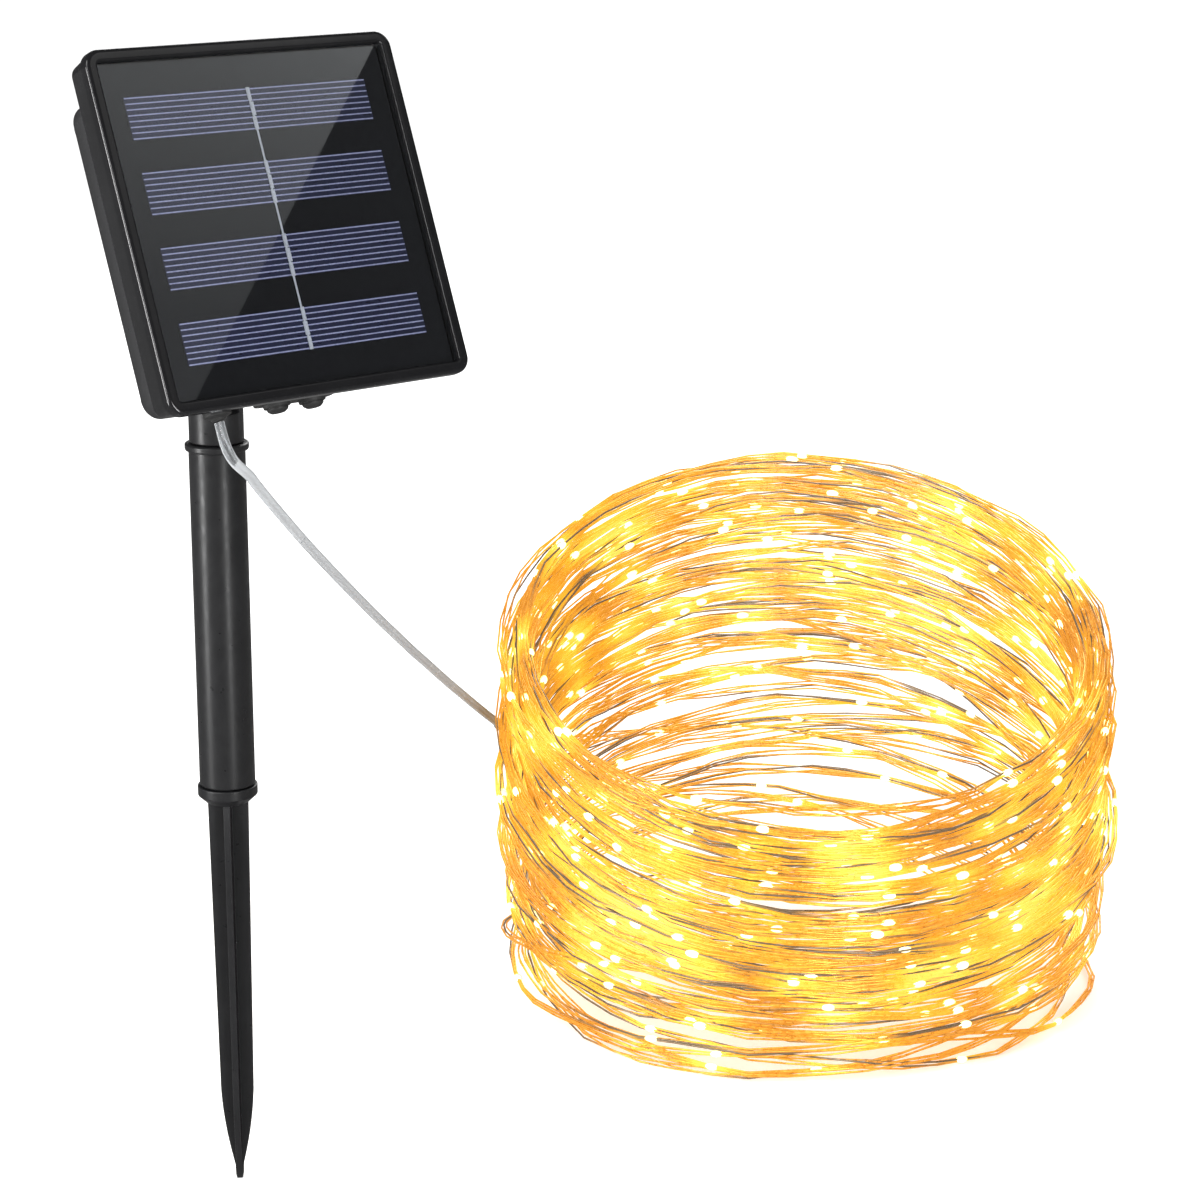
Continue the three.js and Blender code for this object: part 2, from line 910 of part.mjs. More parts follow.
// ---- Lead from the grommet to the coil ----
const LEAD_UPPER = [
  [-28, -44.5, 269.7],
  [-28, -46.1, 265.8],
  [-27.5, -47.4, 262],
  [-25.7, -47.7, 258.5],
  [-22.9, -46.9, 255.8],
  [-19.9, -45.4, 253.6],
  [-16.7, -43.4, 251.2],
  [-12.4, -40.3, 247.4],
  [-2.3, -33.1, 238.9],
  [8.5, -25.4, 230.1],
  [19.4, -17.5, 221.4],
];
const LEAD_LOWER = [
  [19.6, -17.4, 221.2],
  [31.2, -9.1, 212.2],
  [42.8, -0.8, 203.4],
  [54.5, 7.6, 194.6],
  [66.2, 16.1, 185.9],
  [77.9, 24.5, 177.3],
  [89.7, 32.9, 168.8],
  [101.6, 41.4, 160.3],
  [113.4, 49.9, 151.9],
  [125.4, 58.3, 143.6],
  [137.3, 66.8, 135.3],
  [149.3, 75.2, 127],
  [161.4, 83.6, 118.8],
  [173.5, 92, 110.6],
  [185.6, 100.3, 102.5],
  [197.7, 108.4, 94.5],
];
piece(root, "lead_cable_upper", tube(LEAD_UPPER, LEAD_RADIUS, 24), clearLead);
piece(root, "lead_cable_lower", tube(LEAD_LOWER, LEAD_RADIUS, 50), clearLead);

// ---- Joint sleeve, laid against the coil's side ----
function leadJoint() {
  const half = SLEEVE_LENGTH / 2;
  const out = COIL_OUTER + SLEEVE_RADIUS + GAP;
  const sleeve = turned(
    [
      [0, -half],
      [SLEEVE_RADIUS - 0.6, -half],
      [SLEEVE_RADIUS, -half + 1.5],
      [SLEEVE_RADIUS, half - 1.5],
      [SLEEVE_RADIUS - 0.8, half],
      [0, half],
    ],
    "x",
    [0, 0, 0],
    16,
  );
  return sleeve
    .rotateY(SLEEVE_PITCH)
    .rotateZ(SLEEVE_ANGLE - Math.PI / 2)
    .translate(
      COIL_CENTRE[0] + out * Math.cos(SLEEVE_ANGLE),
      COIL_CENTRE[1] + out * Math.sin(SLEEVE_ANGLE),
      SLEEVE_Z,
    );
}
piece(root, "lead_joint", leadJoint(), clearLead);

// ---- Coil of lights: a ring with a slanted top, lowest towards SLUMP ----
function lightCoil() {
  const profile = [
    [COIL_INNER, 0.08],
    [COIL_INNER + 5, 0],
    [COIL_OUTER - 5, 0],
    [COIL_OUTER - 1, 0.08],
    [COIL_OUTER, 0.35],
    [COIL_OUTER - 0.5, 0.75],
    [COIL_OUTER - 4, 0.95],
    [COIL_OUTER - 9, 1],
    [COIL_INNER + 4, 0.97],
    [COIL_INNER, 0.85],
    [COIL_INNER, 0.08],
  ];
  const coil = turned(profile, "z", [0, 0, 0], 48);
  const mean = (COIL_FRONT_HEIGHT + COIL_BACK_HEIGHT) / 2;
  const slant = (COIL_BACK_HEIGHT - COIL_FRONT_HEIGHT) / 2;
  const place = coil.attributes.position;
  for (let i = 0; i < place.count; i++) {
    const x = place.getX(i);
    const y = place.getY(i);
    const along = x * Math.cos(SLUMP) + y * Math.sin(SLUMP);
    place.setZ(i, place.getZ(i) * (mean - (slant * along) / COIL_OUTER));
  }
  return coil.translate(...COIL_CENTRE, 0);
}
piece(root, "light_coil", lightCoil(), copper);

// ---- Sealed end of the string, lying behind the coil ----
const END_CAP = { x: 320, y: 122.4, radius: 1.8, length: 12 };
piece(
  root,
  "string_end_cap",
  turned(
    [
      [0, 0],
      [END_CAP.radius, 0],
      [END_CAP.radius, END_CAP.length - 1.5],
      [END_CAP.radius - 0.9, END_CAP.length],
      [0, END_CAP.length],
    ],
    "x",
    [END_CAP.x, END_CAP.y, END_CAP.radius + 0.1],
    14,
  ),
  clearLead,
);

export default root;
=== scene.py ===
"""Looks of the solar string lights: tilting solar housing on a ground stake, lead, and wound string.

Lengths in the mesh code are millimetres. "Housing" coordinates are x across the panel, y from its front
face to the back, and z up the panel.
"""

import math

import bmesh
import bpy
import numpy as np
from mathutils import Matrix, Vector


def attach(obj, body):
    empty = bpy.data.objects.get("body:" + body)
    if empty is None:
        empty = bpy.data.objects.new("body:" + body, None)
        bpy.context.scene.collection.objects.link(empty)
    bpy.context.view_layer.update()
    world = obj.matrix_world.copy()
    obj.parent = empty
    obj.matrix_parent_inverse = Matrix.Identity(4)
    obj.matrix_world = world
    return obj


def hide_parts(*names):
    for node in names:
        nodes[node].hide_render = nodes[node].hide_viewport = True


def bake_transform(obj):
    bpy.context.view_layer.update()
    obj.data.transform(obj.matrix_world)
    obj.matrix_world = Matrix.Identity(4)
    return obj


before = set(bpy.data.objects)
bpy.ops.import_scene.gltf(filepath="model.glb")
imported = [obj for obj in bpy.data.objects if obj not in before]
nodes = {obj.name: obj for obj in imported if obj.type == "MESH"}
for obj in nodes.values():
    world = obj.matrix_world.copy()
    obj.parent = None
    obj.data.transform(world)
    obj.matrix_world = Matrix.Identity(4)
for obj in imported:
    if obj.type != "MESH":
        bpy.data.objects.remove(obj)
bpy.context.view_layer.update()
MM = 0.001
SIN, COS = math.sin(math.radians(22)), math.cos(math.radians(22))
HINGE_Z = 296.0


# ---------------------------------------------------------------- camera
AZIMUTH, ELEVATION = math.radians(-40.3), math.radians(15)
AIM = Vector((0.1587, 0.0, 0.1734))
BACK = Vector(
    (math.sin(AZIMUTH) * math.cos(ELEVATION), -math.cos(AZIMUTH) * math.cos(ELEVATION), math.sin(ELEVATION))
)
camera = bpy.data.objects.new("camera", bpy.data.cameras.new("camera"))
camera.data.lens, camera.data.sensor_width = 94.5, 36
camera.data.clip_start, camera.data.clip_end = 0.05, 50
camera.location = AIM + BACK * 1.1143
camera.rotation_mode = "QUATERNION"
camera.rotation_quaternion = (-BACK).to_track_quat("-Z", "Y")
bpy.context.scene.collection.objects.link(camera)
bpy.context.scene.camera = camera
bpy.context.scene.view_settings.view_transform = "Standard"


# ---------------------------------------------------------------- node helpers
class Graph:
    """A material under construction, with short calls for the nodes used here."""

    def __init__(self, name):
        self.material = bpy.data.materials.new(name)
        self.material.use_nodes = True
        self.tree = self.material.node_tree
        self.tree.nodes.clear()
        self.out = self.add("ShaderNodeOutputMaterial")
        self.place = self.add("ShaderNodeTexCoord").outputs["Object"]

    def add(self, kind, **settings):
        node = self.tree.nodes.new(kind)
        for key, value in settings.items():
            setattr(node, key, value)
        return node

    def link(self, source, target):
        self.tree.links.new(source, target)

    def stretched(self, x, y, z):
        node = self.add("ShaderNodeMapping")
        node.inputs["Scale"].default_value = (x, y, z)
        self.link(self.place, node.inputs["Vector"])
        return node.outputs["Vector"]

    def noise(self, scale, detail=3.0, place=None, rough=0.55):
        node = self.add("ShaderNodeTexNoise")
        node.inputs["Scale"].default_value = scale
        node.inputs["Detail"].default_value = detail
        node.inputs["Roughness"].default_value = rough
        self.link(place or self.place, node.inputs["Vector"])
        return node.outputs["Fac"]

    def attribute(self, name):
        return self.add("ShaderNodeAttribute", attribute_name=name).outputs["Fac"]

    def ramp(self, factor, *stops):
        node = self.add("ShaderNodeValToRGB")
        elements = node.color_ramp.elements
        while len(elements) < len(stops):
            elements.new(0.5)
        for element, (at, colour) in zip(elements, stops):
            element.position = at
            element.color = (*colour, 1) if len(colour) == 3 else colour
        self.link(factor, node.inputs["Fac"])
        return node.outputs["Color"]

    def span(self, factor, low, high, start=0.3, end=0.7):
        node = self.add("ShaderNodeMapRange")
        node.inputs["From Min"].default_value = start
        node.inputs["From Max"].default_value = end
        node.inputs["To Min"].default_value = low
        node.inputs["To Max"].default_value = high
        self.link(factor, node.inputs["Value"])
        return node.outputs["Result"]

    def mix(self, factor, a, b, blend="MIX"):
        node = self.add("ShaderNodeMix", data_type="RGBA", blend_type=blend)
        for socket, value in ((node.inputs[0], factor), (node.inputs[6], a), (node.inputs[7], b)):
            if isinstance(value, bpy.types.NodeSocket):
                self.link(value, socket)
            else:
                socket.default_value = value if isinstance(value, float) else (*value, 1)
        return node.outputs[2]

    def blend(self, factor, a, b):
        node = self.add("ShaderNodeMixShader")
        for socket, source in zip(node.inputs, (factor, a, b)):
            self.link(source, socket)
        return node.outputs[0]

    def bump(self, height, strength, distance):
        node = self.add("ShaderNodeBump")
        node.inputs["Strength"].default_value = strength
        node.inputs["Distance"].default_value = distance
        self.link(height, node.inputs["Height"])
        return node.outputs["Normal"]

    def principled(self, colour=None, rough=None, normal=None, **constants):
        node = self.add("ShaderNodeBsdfPrincipled")
        for socket, value in (("Base Color", colour), ("Roughness", rough), ("Normal", normal)):
            if value is not None:
                self.link(value, node.inputs[socket])
        for key, value in constants.items():
            node.inputs[key.replace("_", " ")].default_value = value
        return node

    def done(self, shader):
        self.link(shader, self.out.inputs["Surface"])
        return self.material


def scaled(colour, by):
    return tuple(min(1.0, c * by) for c in colour)


def plastic(name, colour, rough, grain, vary=0.25, scale=60, bump=0.08, **constants):
    """Moulded plastic: cloudy colour, uneven gloss, a fine grain and a painted highlight along its edges.
    """
    g = Graph(name)
    cloud = g.noise(scale, 4)
    tint = g.ramp(cloud, (0.3, scaled(colour, 1 - vary)), (0.7, scaled(colour, 1 + vary)))
    # Painted highlight: convex edges, picked out by pointiness, are painted up to 2.2 times lighter.
    edge = g.ramp(
        g.add("ShaderNodeNewGeometry").outputs["Pointiness"],
        (0.52, (0, 0, 0)),
        (0.60, (1, 1, 1)),
    )
    painted_edge_highlight = g.mix(edge, tint, scaled(colour, 2.2))
    gloss = g.span(g.noise(scale * 6, 5), rough * 0.8, rough * 1.25)
    return g.done(
        g.principled(painted_edge_highlight, gloss, g.bump(g.noise(grain, 2), bump, 0.0002), **constants).outputs[0]
    )


def metal(name, colour, rough, scale=900, metallic=1.0):
    """Plated metal: fine brushed streaks and small dull patches."""
    g = Graph(name)
    streak = g.noise(scale, 3, g.stretched(1, 0.15, 1))
    tint = g.ramp(streak, (0.3, scaled(colour, 0.8)), (0.7, colour))
    gloss = g.span(g.noise(scale * 0.4, 4), rough * 0.7, rough * 1.4)
    return g.done(g.principled(tint, gloss, g.bump(streak, 0.15, 0.00005), Metallic=metallic).outputs[0])


def clear(name, tint, ghost, rough, milk=(0.8, 0.82, 0.84), milkiness=0.12, lines=900):
    """A clear skin: see-through, with gloss by angle, a painted shade that greys it towards its outline,
    and a little milkiness in streaks.
    """
    g = Graph(name)
    through = g.add("ShaderNodeBsdfTransparent")
    slant = g.add("ShaderNodeLayerWeight")
    slant.inputs["Blend"].default_value = 0.5
    # Painted shade: the see-through colour darkens to 45 per cent where the surface turns away from view.
    g.link(
        g.ramp(slant.outputs["Facing"], (0.2, tint), (0.85, scaled(tint, 0.45))),
        through.inputs["Color"],
    )
    streak = g.noise(lines, 3, g.stretched(1, 1, 0.4))
    body = g.principled(
        g.ramp(streak, (0.3, scaled(milk, 0.93)), (0.7, milk)),
        g.span(streak, rough * 0.7, rough * 1.5),
        g.bump(g.noise(lines * 0.5, 2), ghost, 0.0001),
        IOR=1.48,
    )
    gloss = g.add("ShaderNodeFresnel")
    gloss.inputs["IOR"].default_value = 1.48
    share = g.add("ShaderNodeMath", operation="ADD", use_clamp=True)
    share.inputs[1].default_value = milkiness
    g.link(gloss.outputs[0], share.inputs[0])
    return g.done(g.blend(share.outputs[0], through.outputs[0], body.outputs[0]))


STAKE = plastic("stake_grey", (0.0085, 0.0085, 0.009), 0.34, 1700, 0.15, bump=0.03, Specular_IOR_Level=0.26)
BEZEL = plastic("bezel_black", (0.005, 0.005, 0.0055), 0.15, 1500, 0.2, 40, 0.02, Specular_IOR_Level=0.40)
SHELL = plastic("shell_black", (0.009, 0.009, 0.0095), 0.33, 1900, 0.2, bump=0.035, Specular_IOR_Level=0.3)
RUBBER = plastic("soft_rubber", (0.010, 0.010, 0.010), 0.62, 5200, bump=0.2)
STEEL = metal("plated_steel", (0.56, 0.56, 0.57), 0.32)
TINNED = metal("tinned_ribbon", (0.86, 0.86, 0.90), 0.34, 2200, 0.3)
CONDUCTOR = metal("tinned_strands", (0.26, 0.265, 0.275), 0.35, 900, 0.4)
BACKING = plastic("panel_backing", (0.0025, 0.0025, 0.003), 0.7, 900, bump=0.001, Specular_IOR_Level=0.08)
WRAP = plastic("battery_wrap", (0.03, 0.20, 0.06), 0.28, 2500)
BOARD = plastic("solder_mask", (0.012, 0.09, 0.03), 0.32, 2500)
COMPONENT = plastic("component_black", (0.014, 0.014, 0.014), 0.5, 4000)
RED = plastic("red_insulation", (0.40, 0.015, 0.015), 0.4, 3000)
BLACK = plastic("black_insulation", (0.012, 0.012, 0.012), 0.4, 3000)
PVC = clear("clear_pvc", (0.84, 0.85, 0.86), 0.03, 0.20, (0.30, 0.31, 0.32), 0.16, 60)
RESIN = clear("clear_resin", (0.97, 0.95, 0.90), 0.10, 0.12, milkiness=0.22)


def cover_material():
    """The panel's cover: a clear sheet with a mirror-like face and the faintest unevenness."""
    g = Graph("clear_cover")
    through = g.add("ShaderNodeBsdfTransparent")
    through.inputs["Color"].default_value = (0.90, 0.92, 0.94, 1)
    face = g.add("ShaderNodeBsdfGlossy")
    g.link(g.span(g.noise(25, 3), 0.002, 0.012), face.inputs["Roughness"])
    g.link(g.bump(g.noise(9, 0), 0.02, 0.0001), face.inputs["Normal"])
    fresnel = g.add("ShaderNodeFresnel")
    fresnel.inputs["IOR"].default_value = 1.5
    return g.done(g.blend(fresnel.outputs[0], through.outputs[0], face.outputs[0]))


def cell_material():
    """Blue silicon: navy with a purple cast that drifts from place to place, and fine crystal streaks."""
    g = Graph("solar_cell")
    drift = g.ramp(
        g.noise(22, 3),
        (0.3, (0.006, 0.009, 0.036)),
        (0.55, (0.012, 0.014, 0.050)),
        (0.75, (0.020, 0.019, 0.060)),
    )
    crystal = g.noise(900, 3, g.stretched(0.3, 1, 1))
    tint = g.mix(g.span(crystal, 0.0, 0.35), drift, (0.03, 0.034, 0.09))
    return g.done(
        g.principled(
            tint,
            g.span(crystal, 0.25, 0.45),
            g.bump(crystal, 0.05, 0.0001),
            Metallic=0.3,
            Coat_Weight=0.4,
            Coat_Roughness=0.12,
        ).outputs[0]
    )


def finger_material():
    """Printed silver lines: pale lilac, a little broken up."""
    g = Graph("cell_print")
    break_up = g.noise(1400, 3)
    return g.done(
        g.principled(
            g.ramp(break_up, (0.3, (0.36, 0.37, 0.60)), (0.7, (0.62, 0.62, 0.88))),
            g.span(break_up, 0.35, 0.6),
            g.bump(break_up, 0.2, 0.00005),
            Metallic=0.2,
        ).outputs[0]
    )


def wire_material():
    """Enamelled copper strands with a painted glow: orange, yellow near a lamp as if lit by it, with brown
    and grey stretches.
    """
    g = Graph("lit_copper")
    near, tone = g.attribute("near_lamp"), g.attribute("tone")
    lacquer = g.noise(500, 3)
    metal_tint = g.ramp(lacquer, (0.3, (0.55, 0.22, 0.03)), (0.7, (0.90, 0.46, 0.09)))
    tint = g.mix(tone, metal_tint, (0.24, 0.18, 0.12))
    # The strands emit light though they are no lamps: a painted glow for the lamps' light on them, yellower
    # near each lamp.
    glow = g.ramp(
        near,
        (0.0, (0.53, 0.18, 0.006)),
        (0.3, (0.80, 0.34, 0.012)),
        (0.65, (1.0, 0.56, 0.03)),
        (1.0, (1.0, 0.74, 0.10)),
    )
    painted_glow = g.mix(tone, glow, (0.07, 0.045, 0.02))
    shader = g.principled(
        tint,
        g.span(lacquer, 0.22, 0.42),
        g.bump(g.noise(2500, 2), 0.1, 0.00005),
        Metallic=0.75,
        Emission_Strength=1.0,
    )
    g.link(painted_glow, shader.inputs["Emission Color"])
    return g.done(shader.outputs[0])


def lamp_material():
    """Resin drops over lit lamps: near white at the core, yellow at the rim."""
    g = Graph("lit_drop")
    grain = g.noise(700, 2)
    face = g.add("ShaderNodeLayerWeight")
    face.inputs["Blend"].default_value = 0.35
    glow = g.ramp(
        face.outputs["Facing"],
        (0.0, (1.0, 0.96, 0.62)),
        (0.35, (1.0, 0.85, 0.28)),
        (0.7, (1.0, 0.62, 0.06)),
        (1.0, (0.75, 0.40, 0.02)),
    )
    shader = g.principled(
        g.ramp(grain, (0.3, (0.95, 0.82, 0.50)), (0.7, (1.0, 0.92, 0.70))),
        g.span(grain, 0.08, 0.2),
        g.bump(grain, 0.1, 0.0001),
        Emission_Strength=1.7,
    )
    g.link(glow, shader.inputs["Emission Color"])
    return g.done(shader.outputs[0])


COVER, CELL, FINGER = cover_material(), cell_material(), finger_material()
WIRE, LAMP = wire_material(), lamp_material()


# ---------------------------------------------------------------- mesh helpers
def from_housing(points):
    """Housing coordinates to the row frame, in millimetres."""
    p = np.asarray(points, float).reshape(-1, 3)
    y, z = p[:, 1] - 50, p[:, 2] + 15
    return np.column_stack([p[:, 0], y * COS + z * SIN, HINGE_Z - y * SIN + z * COS])


def solid(name, points, faces, look, sharp=38, tidy=True, bevel=0.0):
    """An object from points in millimetres, smooth but for edges that turn by more than the sharp angle."""
    mesh = bpy.data.meshes.new(name)
    mesh.from_pydata((np.asarray(points, float) * MM).tolist(), [], faces)
    if tidy:
        b = bmesh.new()
        b.from_mesh(mesh)
        bmesh.ops.remove_doubles(b, verts=b.verts, dist=1e-6)
        bmesh.ops.recalc_face_normals(b, faces=b.faces)
        b.to_mesh(mesh)
        b.free()
    mesh.materials.append(look)
    obj = bpy.data.objects.new(name, mesh)
    bpy.context.scene.collection.objects.link(obj)
    finish_surface(obj, sharp, bevel)
    return obj


def finish_surface(obj, sharp=38, bevel=0.0):
    obj.data.shade_smooth()
    obj.data.set_sharp_from_angle(angle=math.radians(sharp))
    if bevel:
        edge = obj.modifiers.new("edges", "BEVEL")
        edge.width, edge.segments, edge.limit_method = bevel * MM, 3, "ANGLE"
        edge.angle_limit, edge.harden_normals = math.radians(35), True
    even = obj.modifiers.new("even_normals", "WEIGHTED_NORMAL")
    even.keep_sharp = True
    return obj


def place(obj, body, slot, *stands_for):
    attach(obj, body)
    if stands_for:
        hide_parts(*stands_for)
    return obj


def soften(corners, steps=4, closed=True):
    """A profile through (u, v, radius) corners, each rounded by that radius."""
    points = []
    count = len(corners)
    for i, (u, v, radius) in enumerate(corners):
        here = np.array((u, v), float)
        if radius <= 0 or (not closed and i in (0, count - 1)):
            points.append(here)
            continue
        before = np.array(corners[i - 1][:2], float) - here
        after = np.array(corners[(i + 1) % count][:2], float) - here
        near, far = np.linalg.norm(before), np.linalg.norm(after)
        turn = math.acos(np.clip(before @ after / (near * far), -1, 1))
        reach = min(radius / max(math.tan(turn / 2), 0.05), 0.48 * near, 0.48 * far)
        a, b = here + before / near * reach, here + after / far * reach
        for t in np.linspace(0, 1, steps + 1):
            points.append((1 - t) ** 2 * a + 2 * t * (1 - t) * here + t * t * b)
    return np.array(points)


def oblong(y, half, low, high, radius, steps=10):
    """A rounded rectangle at depth y, in housing coordinates."""
    radius = max(radius, 0.05)
    points = []
    for x, z, quarter in (
        (half - radius, high - radius, 0),
        (radius - half, high - radius, 1),
        (radius - half, low + radius, 2),
        (half - radius, low + radius, 3),
    ):
        for t in np.linspace(0, math.pi / 2, steps + 1) + quarter * math.pi / 2:
            points.append((x + radius * math.cos(t), y, z + radius * math.sin(t)))
    return np.array(points)


def loft(rings, closed=False):
    """Points and faces of the skin through equal rings, capped unless closed on itself."""
    count, faces = len(rings[0]), []
    for i in range(len(rings) if closed else len(rings) - 1):
        a, b = i * count, (i + 1) % len(rings) * count
        for k in range(count):
            n = (k + 1) % count
            faces.append((a + k, b + k, b + n, a + n))
    if not closed:
        last = (len(rings) - 1) * count
        faces += [tuple(range(count)), tuple(last + k for k in reversed(range(count)))]
    return np.concatenate(rings), faces


def turned(profile, axis="z", at=(0, 0, 0), steps=72, closed=False):
    """A solid of revolution: profile rows are (radius, height along the axis)."""
    angles = np.linspace(0, 2 * math.pi, steps, endpoint=False)
    c, s = np.cos(angles), np.sin(angles)
    rings = []
    for radius, height in profile:
        radius, high = max(radius, 1e-3), np.full(steps, height)
        columns = {
            "z": (radius * c, radius * s, high),
            "x": (high, radius * c, radius * s),
            "y": (radius * s, high, radius * c),
        }[axis]
        rings.append(np.column_stack(columns) + np.array(at, float))
    return loft(rings, closed)


def joined(*parts):
    """Several (points, faces) as one."""
    points, faces, start = [], [], 0
    for p, f in parts:
        points.append(np.asarray(p, float))
        faces += [tuple(i + start for i in face) for face in f]
        start += len(p)
    return np.concatenate(points), faces


def slab(low, high):
    """A plain block, used for small parts that get their rounding from a bevel."""
    x, y, z = zip(low, high)
    points = [(a, b, c) for a in x for b in y for c in z]
    faces = [(0, 1, 3, 2), (4, 6, 7, 5), (0, 4, 5, 1), (2, 3, 7, 6), (0, 2, 6, 4), (1, 5, 7, 3)]
    return np.array(points, float), faces


def carved(obj, *tools, operation="DIFFERENCE"):
    """obj with the tools cut away, or with what it shares with them."""
    for tool in tools:
        change = obj.modifiers.new("cut", "BOOLEAN")
        change.operation, change.solver, change.object = operation, "EXACT", tool
    bpy.context.view_layer.update()
    graph = bpy.context.evaluated_depsgraph_get()
    mesh = bpy.data.meshes.new_from_object(obj.evaluated_get(graph))
    obj.modifiers.clear()
    obj.data = mesh
    for tool in tools:
        bpy.data.objects.remove(tool)
    return obj


def raw(name, points, faces, look):
    """A plain object for use with carved()."""
    obj = solid(name, points, faces, look)
    obj.modifiers.clear()
    return obj


def spline(points, steps):
    """A smooth curve through the points, evenly spaced."""
    p = np.asarray(points, float)
    p = np.vstack([2 * p[0] - p[1], p, 2 * p[-1] - p[-2]])
    fine = []
    for i in range(1, len(p) - 2):
        for t in np.linspace(0, 1, 24, endpoint=False):
            a, b, c, d = p[i - 1 : i + 3]
            fine.append(
                0.5
                * (
                    2 * b
                    + (c - a) * t
                    + (2 * a - 5 * b + 4 * c - d) * t * t
                    + (3 * b - a - 3 * c + d) * t**3
                )
            )
    fine = np.array([*fine, p[-2]])
    along = np.concatenate([[0], np.cumsum(np.linalg.norm(np.diff(fine, axis=0), axis=1))])
    at = np.linspace(0, along[-1], steps + 1)
    return np.column_stack([np.interp(at, along, fine[:, k]) for k in range(3)])


def frames(line, side):
    """For each point of a line: its direction, and two directions across it, the first near to side."""
    ahead = np.gradient(line, axis=0)
    ahead /= np.linalg.norm(ahead, axis=1)[:, None]
    side = np.broadcast_to(np.asarray(side, float), line.shape)
    across = side - (side * ahead).sum(1)[:, None] * ahead
    across /= np.linalg.norm(across, axis=1)[:, None]
    return ahead, across, np.cross(ahead, across)


def swept(line, sections, side):
    """Points and faces of a section carried along a line. sections is (rings, points, 2) or (points, 2)."""
    _, across, over = frames(line, side)
    sections = np.asarray(sections, float)
    if sections.ndim == 2:
        sections = np.broadcast_to(sections, (len(line), *sections.shape))
    rings = (line[:, None] + sections[:, :, :1] * across[:, None] + sections[:, :, 1:] * over[:, None])
    return loft(list(rings))


def circle(radius, sides, centre=(0, 0)):
    t = np.linspace(0, 2 * math.pi, sides, endpoint=False)
    return np.column_stack([centre[0] + radius * np.cos(t), centre[1] + radius * np.sin(t)])


# ---------------------------------------------------------------- lead
LEAD_UPPER = [
    (-28, -44.5, 269.7), (-28, -46.1, 265.8), (-27.5, -47.4, 262), (-25.7, -47.7, 258.5),
    (-22.9, -46.9, 255.8), (-19.9, -45.4, 253.6), (-16.7, -43.4, 251.2), (-12.4, -40.3, 247.4),
    (-2.3, -33.1, 238.9), (8.5, -25.4, 230.1), (19.4, -17.5, 221.4),
]
LEAD_LOWER = [
    (19.6, -17.4, 221.2), (31.2, -9.1, 212.2), (42.8, -0.8, 203.4), (54.5, 7.6, 194.6),
    (66.2, 16.1, 185.9), (77.9, 24.5, 177.3), (89.7, 32.9, 168.8), (101.6, 41.4, 160.3),
    (113.4, 49.9, 151.9), (125.4, 58.3, 143.6), (137.3, 66.8, 135.3), (149.3, 75.2, 127),
    (161.4, 83.6, 118.8), (173.5, 92, 110.6), (185.6, 100.3, 102.5), (197.9, 108.5, 94.4),
]
LEAD_SIDE = (0.35, -0.30, 0.88)


def twin_section(core=0.86, gap=0.80):
    """Two cores moulded side by side: a figure of eight with a thin web."""
    left = [(-gap + core * math.cos(t), core * math.sin(t)) for t in np.radians(np.linspace(48, 312, 10))]
    right = [(gap + core * math.cos(t), core * math.sin(t)) for t in np.radians(np.linspace(-132, 132, 10))]
    return np.array(left + right)


def lead_part(name, route, steps):
    """One stretch of the twin lead: its clear jacket, and the two conductors inside."""
    line = spline(route, steps)
    jacket = solid("lead_" + name, *swept(line, twin_section(), LEAD_SIDE), PVC, tidy=False)
    jacket.modifiers.clear()
    cores = solid(
        "lead_cores_" + name,
        *joined(*(swept(line, circle(0.42, 8, (x, 0)), LEAD_SIDE) for x in (-0.80, 0.80))),
        CONDUCTOR,
        tidy=False,
    )
    cores.modifiers.clear()
    for piece, slot in ((jacket, "clear_pvc"), (cores, "tinned_copper")):
        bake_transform(piece)
    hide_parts("lead_cable_" + name)
    return jacket, cores, line * MM


upper, upper_cores, upper_line = lead_part(
    "upper",
    LEAD_UPPER,
    44,
)
lower, lower_cores, lower_line = lead_part(
    "lower",
    LEAD_LOWER,
    110,
)


def along_sleeve(parts):
    """From the sleeve's own x axis to its place against the coil's side."""
    turn = math.radians(123)
    centre = np.array([271 + 121.6 * math.cos(turn), 11 + 121.6 * math.sin(turn), 90])
    axis = np.array([0.7405, 0.4809, -0.4695])
    axis /= np.linalg.norm(axis)
    side = np.cross(axis, (0, 0, 1))
    side /= np.linalg.norm(side)
    up = np.cross(side, axis)
    p, faces = parts
    p = np.asarray(p, float)
    return (centre + p[:, :1] * axis + p[:, 1:2] * side + p[:, 2:] * up, faces)


SLEEVE_PROFILE = soften(
    [
        (0, -9, 0), (1.75, -9, 0.4), (2.3, -7.2, 0.8), (2.3, -2.2, 0.8), (2.05, -0.8, 0.8),
        (2.05, 0.8, 0.8), (2.3, 2.2, 0.8), (2.3, 6.6, 1.0), (1.2, 9, 0.4), (0, 9, 0),
    ],
    closed=False,
)


def tinned_end(start, aside):
    """One soldered core inside the sleeve, 8 mm long."""
    profile = [(0, start, 0), (0.75, start, 0.3), (0.75, start + 8, 0.3), (0, start + 8, 0)]
    return turned(soften(profile, closed=False), "x", (0, aside, 0), 16)


sleeve = solid("joint_sleeve", *along_sleeve(turned(SLEEVE_PROFILE, "x", steps=32)), PVC)
place(sleeve, "stake", "clear_pvc", "lead_joint")
splice = solid(
    "joint_splice",
    *along_sleeve(joined(tinned_end(-5, 0.8), tinned_end(-3, -0.8))),
    CONDUCTOR,
)
place(splice, "stake", "tinned_copper")
END_PROFILE = soften(
    [(0, 320, 0), (1.3, 320, 0.4), (1.8, 321.6, 0.6), (1.8, 329.4, 1.4), (0.5, 332, 0.5), (0, 332, 0)],
    closed=False,
)
end_cap = solid("end_drop", *turned(END_PROFILE, "x", (0, 122.4, 1.9), 28), RESIN)
place(end_cap, "stake", "clear_pvc", "string_end_cap")


# ---------------------------------------------------------------- string of lights
COIL = np.array([271.0, 11.0])
COIL_OUTER, WALL_MIDDLE, STRAY_RADIUS = 119, 109, 121
